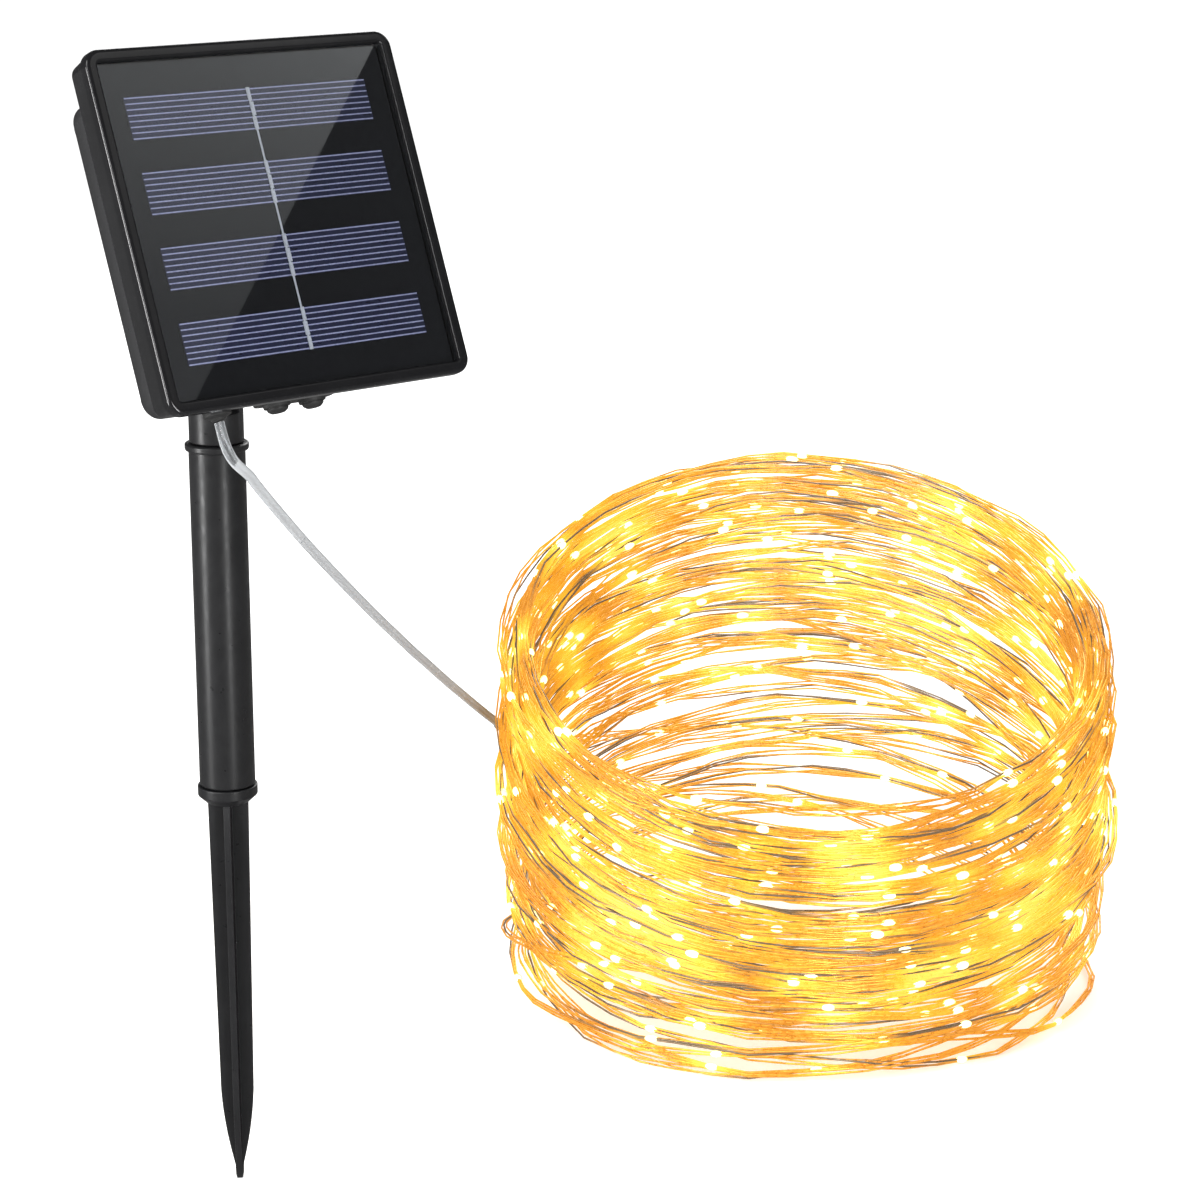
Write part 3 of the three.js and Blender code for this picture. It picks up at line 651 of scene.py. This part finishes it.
# The wall's height varies evenly from its low side, which faces LOW_SIDE, to its high side.
COIL_LOW, COIL_HIGH = 97, 185
LOW_SIDE = math.radians(-129.5)
FIRST_ANGLE = math.radians(119.3)
TURNS = 84 + 53.1 / 360
STEPS = 48
SLEEVE_HIGH, SLEEVE_DIP = 85.8, 22
END_CAP_HIGH, STRAND_LOWEST = 1.9, 1.62
STRAYS = ((21.4, 0.28), (38.7, 0.22), (49.2, 0.3), (63.3, 0.25), (75.8, 0.2))
LAMP_PITCH = 125.0
random = np.random.default_rng(11)


def ripple(u, pitches, sizes):
    """A smooth wander along the string: u is in turns."""
    phases = random.uniform(0, 2 * math.pi, len(pitches))
    return sum(a * np.sin(2 * math.pi * f * u + p) for f, a, p in zip(pitches, sizes, phases))


def ease(t):
    """From 0 to 1 and level at both ends."""
    t = np.clip(t, 0, 1)
    return t * t * (3 - 2 * t)


def wound_level(u, angle):
    """Place in the coil's height, 0 to 1: up and down, a few turns to each pass, in loose bundles."""
    pace = u / 5.7 + ripple(u, (0.031, 0.067), (0.5, 0.28))
    sweep = np.abs((pace + 0.25) % 2 - 1)
    level = 0.09 + 0.84 * sweep
    level = np.where(sweep > 0.93, 0.872 + (sweep - 0.93) * 1.75, level)
    level = np.where(sweep < 0.06, 0.14 - (0.06 - sweep) * 2.0, level)
    bundle = ripple(angle / (2 * math.pi), (1, 2), (0.9, 0.7))
    level = level + 0.008 * np.sin(2 * math.pi * level * 8 + bundle)
    return level + ripple(u, (0.37, 0.83, 1.61, 2.7), (0.018, 0.020, 0.017, 0.007))


def wound_radius(u, level):
    """Distance from the coil's middle: a wandering wall, fuller at mid height."""
    radius = WALL_MIDDLE + ripple(u, (0.11, 0.29, 0.53, 1.13, 2.1), (3.6, 3.4, 2.6, 1.8, 1.0))
    radius += 1.6 * (1 - (2 * level - 1) ** 2)
    return WALL_MIDDLE + 9.4 * np.tanh((radius - WALL_MIDDLE) / 9.4)


def string_line():
    """The middle line of the whole string, wound clockwise from the sleeve to the end cap."""
    u = np.linspace(0, TURNS, round(TURNS * STEPS) + 1)
    angle = FIRST_ANGLE - 2 * math.pi * u
    level = wound_level(u, angle)
    radius = wound_radius(u, level)
    kink = ripple(u, (9.3, 14.7, 21.1), (0.35, 0.3, 0.22))
    lift = ripple(u, (8.1, 13.3, 19.7), (0.45, 0.35, 0.25))
    stray = sum(np.exp(-(((u - at) / wide) ** 2)) for at, wide in STRAYS)
    radius = radius + kink + stray * (STRAY_RADIUS - radius)
    along = radius * np.cos(angle - LOW_SIDE)
    height = (COIL_HIGH + COIL_LOW) / 2 - (COIL_HIGH - COIL_LOW) / 2 * along / COIL_OUTER
    # Where the coil is tall, its turns sit closer together at the top than at the bottom.
    level = np.clip(level, 0.016, 1.0)
    crowding = 0.38 * (1 - along / COIL_OUTER)
    high = (level + crowding * level * (1 - level)) * height + lift
    # The first and last half turns come from the sleeve and go to the end cap.
    run = u * 764
    first = ease((u - 0.08) / 0.6)
    radius = (1 - first) * (117.6 + 4.3 * np.exp(-u / 0.08)) + first * radius
    drop = SLEEVE_DIP * (1 - np.exp(-run * 0.53 / SLEEVE_DIP))
    high = (1 - first) * (SLEEVE_HIGH - drop) + first * high
    left = (TURNS - u) * 760
    last = ease((left - 40) / 330)
    radius = (1 - last) * (117.8 + 3.9 * np.exp(-left * 0.44 / 3.9)) + last * radius
    high = np.maximum((1 - last) * END_CAP_HIGH + last * high, STRAND_LOWEST)
    return np.column_stack([COIL[0] + radius * np.cos(angle), COIL[1] + radius * np.sin(angle), high])


string_path = string_line()
string_along = np.concatenate([[0], np.cumsum(np.linalg.norm(np.diff(string_path, axis=0), axis=1))])
lamp_at = np.arange(120, string_along[-1] - 60, LAMP_PITCH)
lamp_at = lamp_at + random.uniform(-6, 6, len(lamp_at))
lamp_points = np.column_stack([np.interp(lamp_at, string_along, string_path[:, k]) for k in range(3)])
radial = np.column_stack(
    [string_path[:, 0] - COIL[0], string_path[:, 1] - COIL[1], np.zeros(len(string_path))]
)


def string_mesh():
    """Four strands that part and meet again between one lamp and the next."""
    ring_count = len(string_path)
    nearest = np.abs(string_along[:, None] - lamp_at[None]).min(1)
    ends = np.minimum(string_along, string_along[-1] - string_along)
    apart = 0.45 + 1.15 * np.clip(np.minimum(nearest, ends) / 32, 0, 1) ** 0.8
    apart = apart * (0.8 + 0.25 * np.sin(string_along / 47.0))
    spin = string_along / 34.0 + 1.3 * np.sin(string_along / 71.0)
    parts = []
    for strand in range(4):
        phase = spin + strand * math.pi / 2
        centre = np.column_stack([apart * np.cos(phase), apart * np.sin(phase)])
        section = circle(0.38, 5)[None] + centre[:, None]
        parts.append(swept(string_path, section, radial))
    points, faces = joined(*parts)
    obj = solid("copper_string", points, faces, WIRE, sharp=180, tidy=False)
    obj.modifiers.clear()
    # How near each point is to a lamp, which sets how strong the painted glow is there, and which stretches
    # look brown or grey.
    painted_glow = np.zeros(ring_count)
    reaches = random.choice([3.5, 5.5, 9], len(lamp_points), p=[0.4, 0.35, 0.25])
    for lamp, reach in zip(lamp_points, reaches):
        gap = np.linalg.norm(string_path - lamp, axis=1)
        painted_glow += 0.9 * np.exp(-((gap / reach) ** 2))
    painted_glow = np.clip(painted_glow, 0, 1)
    for name, values in (
        ("near_lamp", np.concatenate([np.repeat(painted_glow, 5)] * 4)),
        ("tone", np.concatenate([np.repeat(brown_stretches(), 5) for _ in range(4)])),
    ):
        layer = obj.data.attributes.new(name, "FLOAT", "POINT")
        layer.data.foreach_set("value", values.astype(np.float32))
    return obj


def brown_stretches():
    """From 0, bright, to 1, brown: long stretches of about a quarter of each strand."""
    wander = ripple(string_along / 688, (0.71, 1.93, 3.7, 6.1), (0.5, 0.45, 0.4, 0.3))
    return np.clip((wander - 0.55) / 0.25, 0, 1)


string = string_mesh()
place(string, "stake", "copper_wire", "light_coil")


def lamp_drops():
    """A bead of resin round each lamp, longer along the wire, each a little different."""
    ahead = np.column_stack(
        [
            np.interp(lamp_at + 4, string_along, string_path[:, k])
            - np.interp(lamp_at - 4, string_along, string_path[:, k])
            for k in range(3)
        ]
    )
    rows, sides, parts = 7, 10, []
    for centre, direction in zip(lamp_points, ahead):
        direction = direction / np.linalg.norm(direction)
        out = np.array([centre[0] - COIL[0], centre[1] - COIL[1], 0.0])
        out /= np.linalg.norm(out)
        up = np.cross(direction, out)
        long, wide = random.uniform(2.3, 2.8), random.uniform(1.4, 1.7)
        rings = []
        for t in np.linspace(0.06, math.pi - 0.06, rows):
            swell = wide * math.sin(t) ** 0.85 * (1 + 0.10 * math.cos(t))
            ring = circle(swell, sides) * np.array([1.0, 0.85])
            rings.append(centre - direction * long * math.cos(t) + ring[:, :1] * out + ring[:, 1:] * up)
        parts.append(loft(rings))
    points, faces = joined(*parts)
    points[:, 2] = np.maximum(points[:, 2], 0.1)
    obj = solid("lamp_drops", points, faces, LAMP, sharp=180, tidy=False)
    obj.modifiers.clear()
    return obj


drops = lamp_drops()
place(drops, "stake", "led_glow")
for glowing in (string, drops):
    glowing.visible_glossy = False


# ---------------------------------------------------------------- housing: bezel
def bezel_frame():
    """The frame round the panel: rolled lip, a step, and a side that tapers to the back."""
    profile = soften(
        [
            (0, 55.0, 1.5), (3.9, 55.0, 0.4), (4.25, 54.4, 0.25), (12, 53.5, 0.7), (12, 44, 0),
            (10, 44, 0), (10, 51.6, 0), (1.2, 51.6, 0), (1.2, 50.9, 0.15), (0, 51.5, 0.75),
        ],
        steps=5,
    )
    rings = [oblong(y, half, -half, half, max(0.8, 5.2 + (half - 55)), 10) for y, half in profile]
    points, faces = loft(rings, closed=True)
    return solid("bezel_frame", from_housing(points), faces, BEZEL)


bezel = place(bezel_frame(), "head", "bezel_plastic", "front_bezel")


# ---------------------------------------------------------------- housing: rear tub
SCREWS = [(-44.5, -45.5), (44.5, -45.5), (-44.5, 37.5), (44.5, 37.5)]


def rear_tub():
    """The tray behind the bezel, with rounded back edges and four wells for the case screws."""
    skin = soften([(13.2, 0, 0.5), (22.4, 0.8, 3.2), (25, 3.2, 1.2), (25, 8, 0)], 5, False)
    outer = [
        oblong(y, 51.3 - d, -52 + max(0, d - 0.8), 44.8 - d, max(1.5, 6 - 0.5 * d), 10)
        for y, d in skin
    ]
    inner = [oblong(23, 48.2, -49.9, 41.8, 4, 10), oblong(13.2, 49.2, -49.9, 42.8, 4, 10)]
    points, faces = loft([*inner, *outer])
    tub = raw("rear_tub", from_housing(points), faces, SHELL)
    cutters = []
    for index, (x, z) in enumerate(SCREWS):
        p, f = turned([(3.3, 20), (3.3, 30)], "y", (x, 0, z), 40)
        cutters.append(raw(f"well_{index}", from_housing(p), f, SHELL))
    carved(tub, *cutters)
    finish_surface(tub, 32)
    return tub


tub = place(rear_tub(), "head", "shell_plastic", "rear_shell")


def screw_wells():
    """The four wells: a rounded rim, a wall and a seat under each screw head."""
    cups = []
    for x, z in SCREWS:
        profile = soften(
            [
                (0.8, 21.1, 0), (3.3, 21.1, 0.2), (3.3, 25.05, 0.15), (3.9, 25.25, 0.15),
                (4.4, 24.9, 0.1), (4.4, 14, 0), (0.8, 14, 0),
            ],
            3,
        )
        cups.append(turned(profile, "y", (x, 0, z), 40, closed=True))
    points, faces = joined(*cups)
    return solid("screw_wells", from_housing(points), faces, SHELL)


place(screw_wells(), "head", "shell_plastic")


def pan_screw(name, at, head_y, radius, depth, tip_y):
    """A pan-head screw with a cross recess, standing along y in housing coordinates."""
    x, z = at
    dome = soften(
        [
            (0, tip_y, 0),
            (1.2, tip_y + 1.2, 0),
            (1.3, head_y, 0),
            (radius, head_y, 0.12),
            (radius, head_y + depth * 0.5, 0.8),
            (radius * 0.6, head_y + depth, 0.6),
            (0, head_y + depth, 0),
        ],
        4,
        False,
    )
    p, f = turned(dome, "y", (x, 0, z), 36)
    head = raw(name, from_housing(p), f, STEEL)
    top = head_y + depth
    arm = radius * 0.52
    tools = []
    for key, (dx, dz) in {"a": (arm, 0.33), "b": (0.33, arm)}.items():
        p, f = slab((x - dx, top - 0.9, z - dz), (x + dx, top + 1, z + dz))
        tools.append(raw(name + key, from_housing(p), f, STEEL))
    carved(head, *tools)
    finish_surface(head, 32)
    return head


for index, at in enumerate(SCREWS, 1):
    screw = pan_screw(f"case_screw_head_{index}", at, 21.3, 2.8, 1.9, 8.2)
    place(screw, "head", "steel_fastener", f"case_screw_{index}")
for label, x in (("left", -8.5), ("right", 8.5)):
    screw = pan_screw("bracket_screw_head_" + label, (x, -14), 28.2, 2.8, 1.8, 18)
    place(screw, "head", "steel_fastener", "bracket_screw_" + label)


# ---------------------------------------------------------------- housing: panel
CELL_PITCH = 22.8


def cell_print():
    """Eight fine silver lines along each cell strip."""
    parts = []
    for index in range(4):
        middle = (1.5 - index) * CELL_PITCH
        for line in range(8):
            z = middle - 6.15 + line * 12.3 / 7
            parts.append(slab((-43.3, 3.0, z - 0.19), (43.3, 3.06, z + 0.19)))
    points, faces = joined(*parts)
    return solid("cell_print", from_housing(points), faces, FINGER)


place(cell_print(), "head", "tinned_copper")


def bus_strip():
    """The solder ribbon down the middle: a thin strip with thicker tabs soldered over each cell."""
    parts = [slab((-0.34, 2.82, -40.2), (0.34, 2.98, 40.2))]
    random_tabs = np.random.default_rng(3)
    for index in range(4):
        middle = (1.5 - index) * CELL_PITCH
        for part in range(3):
            top = middle + 6.6 - part * 4.5
            lean = random_tabs.uniform(-0.14, 0.14)
            x, w = lean, random_tabs.uniform(0.62, 0.78)
            parts.append(slab((x - w, 2.6, top - 4.2), (x + w, 2.8, top)))
            parts.append(slab((x - w * 0.55, 2.52, top - 3.4), (x + w * 0.2, 2.62, top - 1.0)))
    points, faces = joined(*parts)
    return solid("bus_strip", from_housing(points), faces, TINNED, bevel=0.07)


place(bus_strip(), "head", "tinned_copper", "bus_ribbon")


# ---------------------------------------------------------------- housing: underside
BUTTON_Y = 18.6


def lobed_pad():
    """The rubber pad round the two buttons: a long rounded plate with a raised ring round each button."""
    half_length, half_width = 14.0, 4.8
    straight = half_length - half_width
    parts = []
    rings = []
    for z, inset in ((-52.3, 0.0), (-52.75, 0.0), (-53.05, 0.12), (-53.15, 0.45)):
        r = half_width - inset
        right = [
            (straight + r * math.cos(t), BUTTON_Y + r * math.sin(t), z)
            for t in np.linspace(-math.pi / 2, math.pi / 2, 17)
        ]
        left = [
            (-straight + r * math.cos(t), BUTTON_Y + r * math.sin(t), z)
            for t in np.linspace(math.pi / 2, 1.5 * math.pi, 17)
        ]
        rings.append(np.array(right + left))
    parts.append(loft(rings))
    for x in (-6.5, 6.5):
        rim = soften([(3.55, -52.9, 0), (4.35, -52.9, 0), (4.15, -54.3, 0.3), (3.6, -54.3, 0.2)], 4)
        parts.append(turned(rim, "z", (x, BUTTON_Y, 0), 44, closed=True))
    points, faces = joined(*parts)
    return solid("button_surround", from_housing(points), faces, RUBBER)


place(lobed_pad(), "head", "black_rubber", "button_pad")


def push_cap(name, x, dimple):
    """A domed rubber button with a finger dimple."""
    profile = soften(
        [
            (0, -45.7, 0), (2.1, -45.7, 0), (2.1, -53.3, 0), (3.35, -53.5, 0.1),
            (3.35, -55.1, 0.9), (2.0, -56.15, 1.2),
            (0.8, -56.15 + dimple, 0.5),
            (0, -56.15 + dimple, 0),
        ],
        5,
        False,
    )
    points, faces = turned(profile, "z", (x, BUTTON_Y, 0), 44)
    return solid(name, from_housing(points), faces, RUBBER)


place(push_cap("power_cap", -6.5, 0.45), "power_button", "black_rubber", "button_power")
place(push_cap("mode_cap", 6.5, 0.15), "mode_button", "black_rubber", "button_mode")


def strain_gland():
    """The grommet that the lead leaves by: a flange outside, a groove for the wall, and a lip inside."""
    outline = [
        (0, -55.6, 0), (2.1, -55.6, 0.2), (2.6, -54.8, 0.3), (4.3, -54.1, 0.4),
        (4.4, -52.3, 0.2), (2.95, -52.3, 0), (2.95, -49.7, 0), (4.2, -49.7, 0.1),
        (3.8, -48.2, 0.2), (0, -48.2, 0),
    ]
    points, faces = turned(soften(outline, 4, False), "z", (-28, BUTTON_Y, 0), 40)
    return solid("lead_gland", from_housing(points), faces, RUBBER)


place(strain_gland(), "head", "black_rubber", "cable_gland")


# ---------------------------------------------------------------- hinge bracket
def prism(outline, low, high):
    """A flat outline of (y, z) carried along x."""
    outline = np.asarray(outline, float)
    rings = [np.column_stack([np.full(len(outline), x), outline[:, 0], outline[:, 1]]) for x in (low, high)]
    return loft(rings)


def bracket_plate():
    """The plate screwed to the back of the tub, with two holes for its screws."""
    rows = soften([(25.3, 0, 0), (27.9, 0, 0.6), (27.9, 4, 0)], 4, False)
    base = loft([oblong(y, 13 - d, -30 + d, 6 - d, max(0.6, 3 - d), 8) for y, d in rows])
    plate = raw("bracket_plate", from_housing(base[0]), base[1], SHELL)
    holes = []
    for index, x in enumerate((-8.5, 8.5)):
        p, f = turned([(1.7, 20), (1.7, 40)], "y", (x, 0, -14), 28)
        holes.append(raw(f"plate_hole_{index}", from_housing(p), f, SHELL))
    carved(plate, *holes)
    return finish_surface(plate, 32)


place(bracket_plate(), "head", "shell_plastic", "hinge_bracket")


def tongue():
    """The tongue from the plate to the tilt bolt, rounded round the bolt."""
    eye = [(50 + 8 * math.cos(t), -15 + 8 * math.sin(t)) for t in np.linspace(-1.95, 1.95, 30)]
    outline = [(27.2, 4.5), (27.2, -28), (47, -22.4), *eye]
    points, faces = prism(outline, -3.2, 3.2)
    blade = raw("hinge_tongue", from_housing(points), faces, SHELL)
    p, f = turned([(2.3, -10), (2.3, 10)], "x", (0, 50, -15), 32)
    carved(blade, raw("tongue_hole", from_housing(p), f, SHELL))
    finish_surface(blade, 32, bevel=0.4)
    return blade


place(tongue(), "head", "shell_plastic")


# ---------------------------------------------------------------- stake
POLE_BOTTOM, POLE_TOP, POLE_RADIUS, POLE_BORE = 139.5, 251.6, 9.0, 7.1
SPIKE_TURN = math.radians(-39)
NECK_FOOT = 253.0


def pole():
    """The round tube, with softened ends."""
    profile = [
        (POLE_BORE, POLE_BOTTOM, 0.2), (POLE_RADIUS, POLE_BOTTOM, 0.6),
        (POLE_RADIUS, POLE_TOP, 0.2), (POLE_BORE, POLE_TOP, 0.2),
    ]
    return solid("pole_body", *turned(soften(profile, 4), steps=96, closed=True), STAKE)


place(pole(), "stake", "stake_plastic", "pole_tube")


def collar():
    """The thin ring over the top of the pole."""
    profile = soften(
        [
            (9.3, 250.4, 0), (9.95, 250.4, 0.25), (10.15, 250.9, 0.25), (10.15, 252.3, 0.35),
            (9.6, 252.7, 0.2), (POLE_BORE, 252.7, 0.2), (POLE_BORE, 251.9, 0), (9.3, 251.9, 0),
        ],
        4,
    )
    return solid("collar_ring", *turned(profile, steps=96, closed=True), STAKE)


place(collar(), "stake", "stake_plastic", "pole_collar")


def spike_body():
    """The cross-ribbed spike under its flange, with the spigot that holds the pole."""
    rings = []
    for z in [0, 0.5, 1.4, 3, 5, 7.5, 10, 13, 16.5, 20, 24, 28, 32, 45, 60, 75, 90, 105, 120, 135.5]:
        if z >= 32:
            wide = 5.4 + (z - 32) / 103.5 * 1.2
        elif z >= 5:
            t = (z - 5) / 27
            wide = 1.4 * (1 - t) ** 2 + 2 * t * (1 - t) * 4.75 + 5.4 * t * t
        else:
            wide = 1.2 + 0.04 * z
        thick = min(1.1, wide * 0.92)
        if z < 1:
            wide, thick = wide * (0.75 + 0.25 * z), thick * (0.75 + 0.25 * z)
        arm = []
        for quarter in range(4):
            c, s = math.cos(quarter * math.pi / 2), math.sin(quarter * math.pi / 2)
            for x, y, r in ((wide, -thick, 0.45), (wide, thick, 0.45), (thick, thick, 0.5)):
                arm.append((x * c - y * s, x * s + y * c, min(r, 0.4 * thick)))
        section = soften(arm, 3)
        c, s = math.cos(SPIKE_TURN), math.sin(SPIKE_TURN)
        x, y = section.T
        rings.append(np.column_stack([x * c - y * s, x * s + y * c, np.full(len(section), z)]))
    outline = [
        (0, 133.5, 0), (7.0, 133.5, 0.4), (9.7, 136, 0.5), (9.7, 139.2, 0.4),
        (6.8, 139.2, 0.1), (6.8, 159.8, 0.4), (6.1, 161, 0.2), (0, 161, 0),
    ]
    flange = turned(soften(outline, 4, False), steps=96)
    return solid("spike_body", *joined(loft(rings), flange), STAKE, sharp=32)


place(spike_body(), "stake", "stake_plastic", "ground_spike")


def neck():
    """The stub on the pole: a spigot, a round body, and a fork for the tongue at its top."""
    foot = NECK_FOOT
    outline = [
        (0, foot - 22, 0), (6.3, foot - 22, 0.3), (6.95, foot - 20.5, 0.3), (6.95, foot, 0),
        (8.7, foot, 0.5), (8.7, 306, 0), (0, 306, 0),
    ]
    body = turned(soften(outline, 4, False), steps=96)
    stub = raw("swivel_stub", *body, STAKE)
    arch = [(8.9 * math.cos(t), HINGE_Z + 8.7 * math.sin(t)) for t in np.linspace(0, math.pi, 40)]
    outline = [(12, 222), (12, HINGE_Z - 2), *arch, (-12, HINGE_Z - 2), (-12, 222)]
    side = raw("stub_side", *prism(outline, -12, 12), STAKE)
    carved(stub, side, operation="INTERSECT")
    outline = [(-15, foot + 7), (15, foot + 19), (15, 317), (-15, 317)]
    slot = raw("stub_slot", *prism(outline, -3.6, 3.6), STAKE)
    p, f = turned([(2.3, -15), (2.3, 15)], "x", (0, 0, HINGE_Z), 32)
    carved(stub, slot, raw("stub_hole", p, f, STAKE))
    return finish_surface(stub, 32, bevel=0.35)


place(neck(), "neck", "stake_plastic", "swivel_neck")


def tilt_bolt():
    """The bolt through the fork: domed head with a cross recess, and its shank."""
    dome = soften(
        [
            (0, -13, 0), (2.5, -13, 0.8), (3.8, -11.4, 0.8), (3.8, -10, 0.2), (2, -10, 0),
            (2, 16.4, 0.3), (1.5, 17, 0.1), (0, 17, 0),
        ],
        4,
        False,
    )
    bolt = raw("hinge_bolt", *turned(dome, "x", (0, 0, HINGE_Z), 40), STEEL)
    tools = [
        raw("bolt_a", *slab((-14, -2, HINGE_Z - 0.45), (-12, 2, HINGE_Z + 0.45)), STEEL),
        raw("bolt_b", *slab((-14, -0.45, HINGE_Z - 2), (-12, 0.45, HINGE_Z + 2)), STEEL),
    ]
    carved(bolt, *tools)
    return finish_surface(bolt, 32)


place(tilt_bolt(), "neck", "steel_fastener", "tilt_bolt")


# ---------------------------------------------------------------- materials of the CAD nodes that stay
LOOKS = {
    name: look
    for look, names in (
        (RUBBER, "housing_gasket panel_sealant"),
        (COVER, "panel_cover"),
        (BACKING, "panel_board"),
        (CELL, "solar_cell_1 solar_cell_2 solar_cell_3 solar_cell_4"),
        (WRAP, "battery"),
        (SHELL, "battery_holder switch_plunger_power switch_plunger_mode"),
        (STEEL, "battery_spring battery_contact tilt_washer_left tilt_washer_right tilt_nut"),
        (BOARD, "circuit_board"),
        (COMPONENT, "driver_chip inductor capacitor switch_body_power switch_body_mode"),
        (PVC, "lead_tail"),
        (RED, "panel_wire_red battery_wire_red"),
        (BLACK, "panel_wire_black battery_wire_black"),
    )
    for name in names.split()
}
for name, obj in nodes.items():
    if not obj.hide_render:
        obj.data.materials.clear()
        obj.data.materials.append(LOOKS[name])


# ---------------------------------------------------------------- stage and light
def stage_quad(name, corners, look):
    mesh = bpy.data.meshes.new(name)
    mesh.from_pydata([tuple(c) for c in corners], [], [tuple(range(len(corners)))])
    mesh.materials.append(look)
    obj = bpy.data.objects.new(name, mesh)
    bpy.context.scene.collection.objects.link(obj)
    return obj


def floor_material():
    """White ground that shows only dimly in glossy faces, so that black plastic stays black."""
    g = Graph("floor")
    ground = g.principled(
        g.ramp(g.noise(3, 2), (0.3, (0.93, 0.93, 0.93)), (0.7, (0.94, 0.94, 0.94))),
        g.span(g.noise(40, 3), 0.75, 0.9),
        Specular_IOR_Level=0.0,
        Emission_Color=(1, 1, 1, 1),
        Emission_Strength=0.16,
    )
    dim = g.add("ShaderNodeEmission")
    dim.inputs["Color"].default_value = (0.26, 0.26, 0.26, 1)
    glossy = g.add("ShaderNodeLightPath").outputs["Is Glossy Ray"]
    return g.done(g.blend(glossy, ground.outputs[0], dim.outputs[0]))


FLOOR = floor_material()
stage_quad("floor", [(-9, -9, 0), (9, -9, 0), (9, 9, 0), (-9, 9, 0)], FLOOR)


def softbox(name, at, aim, wide, high, power, colour=(1, 1, 1)):
    light = bpy.data.lights.new(name, "AREA")
    light.shape, light.size, light.size_y = "RECTANGLE", wide, high
    light.energy, light.color = power, colour
    obj = bpy.data.objects.new(name, light)
    obj.location = at
    obj.rotation_mode = "QUATERNION"
    obj.rotation_quaternion = (Vector(aim) - Vector(at)).to_track_quat("-Z", "Y")
    obj.visible_camera = False
    bpy.context.scene.collection.objects.link(obj)
    return obj


AROUND = Vector((BACK.x, BACK.y, 0)).normalized()
RIGHT = Vector((-AROUND.y, AROUND.x, 0))


def beside(degrees, distance, height):
    """A place round the stake, in degrees to the right of the camera's side."""
    t = math.radians(degrees)
    p = (AROUND * math.cos(t) + RIGHT * math.sin(t)) * distance
    return (p.x, p.y, height)


softbox("key", beside(-35, 2.2, 2.2), (0.1, 0, 0.15), 1.4, 1.4, 34)
softbox("strip_left", beside(-61, 0.62, 0.24), (0, 0, 0.22), 0.13, 0.46, 5)
softbox("strip_right", beside(34, 0.62, 0.24), (0, 0, 0.22), 0.10, 0.46, 3)
softbox("lip", beside(-32, 1.5, 0.62), (0, 0, 0.34), 0.20, 0.55, 6)
softbox("back_rim", beside(165, 1.8, 1.1), (0.1, 0, 0.15), 1.2, 0.8, 16)


def diagonal_card():
    """A pale card that shows in the panel's cover as a soft grey triangle above its diagonal."""
    normal = Vector((0, -COS, SIN))
    corner = {
        key: Vector((from_housing([(x, 1.5, z)])[0] * MM).tolist())
        for key, (x, z) in {"top_right": (49, 50), "low_left": (-44, -50), "top_left": (-51, 51)}.items()
    }
    eye = camera.location
    mirror = eye - normal * (2 * (eye - corner["top_left"]).dot(normal))
    out = corner["top_left"] - (corner["top_right"] + corner["low_left"]) / 2
    step = corner["top_right"] - corner["low_left"]
    low = corner["low_left"] - step * 0.6
    high = corner["top_right"] + step * 0.6
    points = [low, high, high + out * 2.2, low + out * 2.2]
    return [mirror + (p - mirror) * 2.6 for p in points]


g = Graph("card")
shine = g.add("ShaderNodeEmission")
rise = g.add("ShaderNodeSeparateXYZ")
g.link(g.add("ShaderNodeNewGeometry").outputs["Position"], rise.inputs[0])
card_points = diagonal_card()
tops = sorted(p.z for p in card_points)
g.link(
    g.ramp(
        g.span(rise.outputs["Z"], 0.0, 1.0, tops[0], tops[-1]),
        (0.25, (0.40, 0.40, 0.40)),
        (0.75, (1.25, 1.25, 1.23)),
    ),
    shine.inputs["Color"],
)
card = stage_quad("card", card_points, g.done(shine.outputs[0]))
card.visible_camera = False
card.visible_diffuse = False
card.visible_shadow = False

world = bpy.data.worlds.new("studio")
bpy.context.scene.world = world
world.use_nodes = True
tree = world.node_tree
tree.nodes.clear()
out = tree.nodes.new("ShaderNodeOutputWorld")
path = tree.nodes.new("ShaderNodeLightPath")
plain = tree.nodes.new("ShaderNodeBackground")
plain.inputs["Color"].default_value = (1, 1, 1, 1)
plain.inputs["Strength"].default_value = 1.0
gloss = tree.nodes.new("ShaderNodeBackground")
gloss.inputs["Color"].default_value = (0.09, 0.09, 0.092, 1)
both = tree.nodes.new("ShaderNodeMixShader")
tree.links.new(path.outputs["Is Glossy Ray"], both.inputs[0])
tree.links.new(plain.outputs[0], both.inputs[1])
tree.links.new(gloss.outputs[0], both.inputs[2])
tree.links.new(both.outputs[0], out.inputs["Surface"])
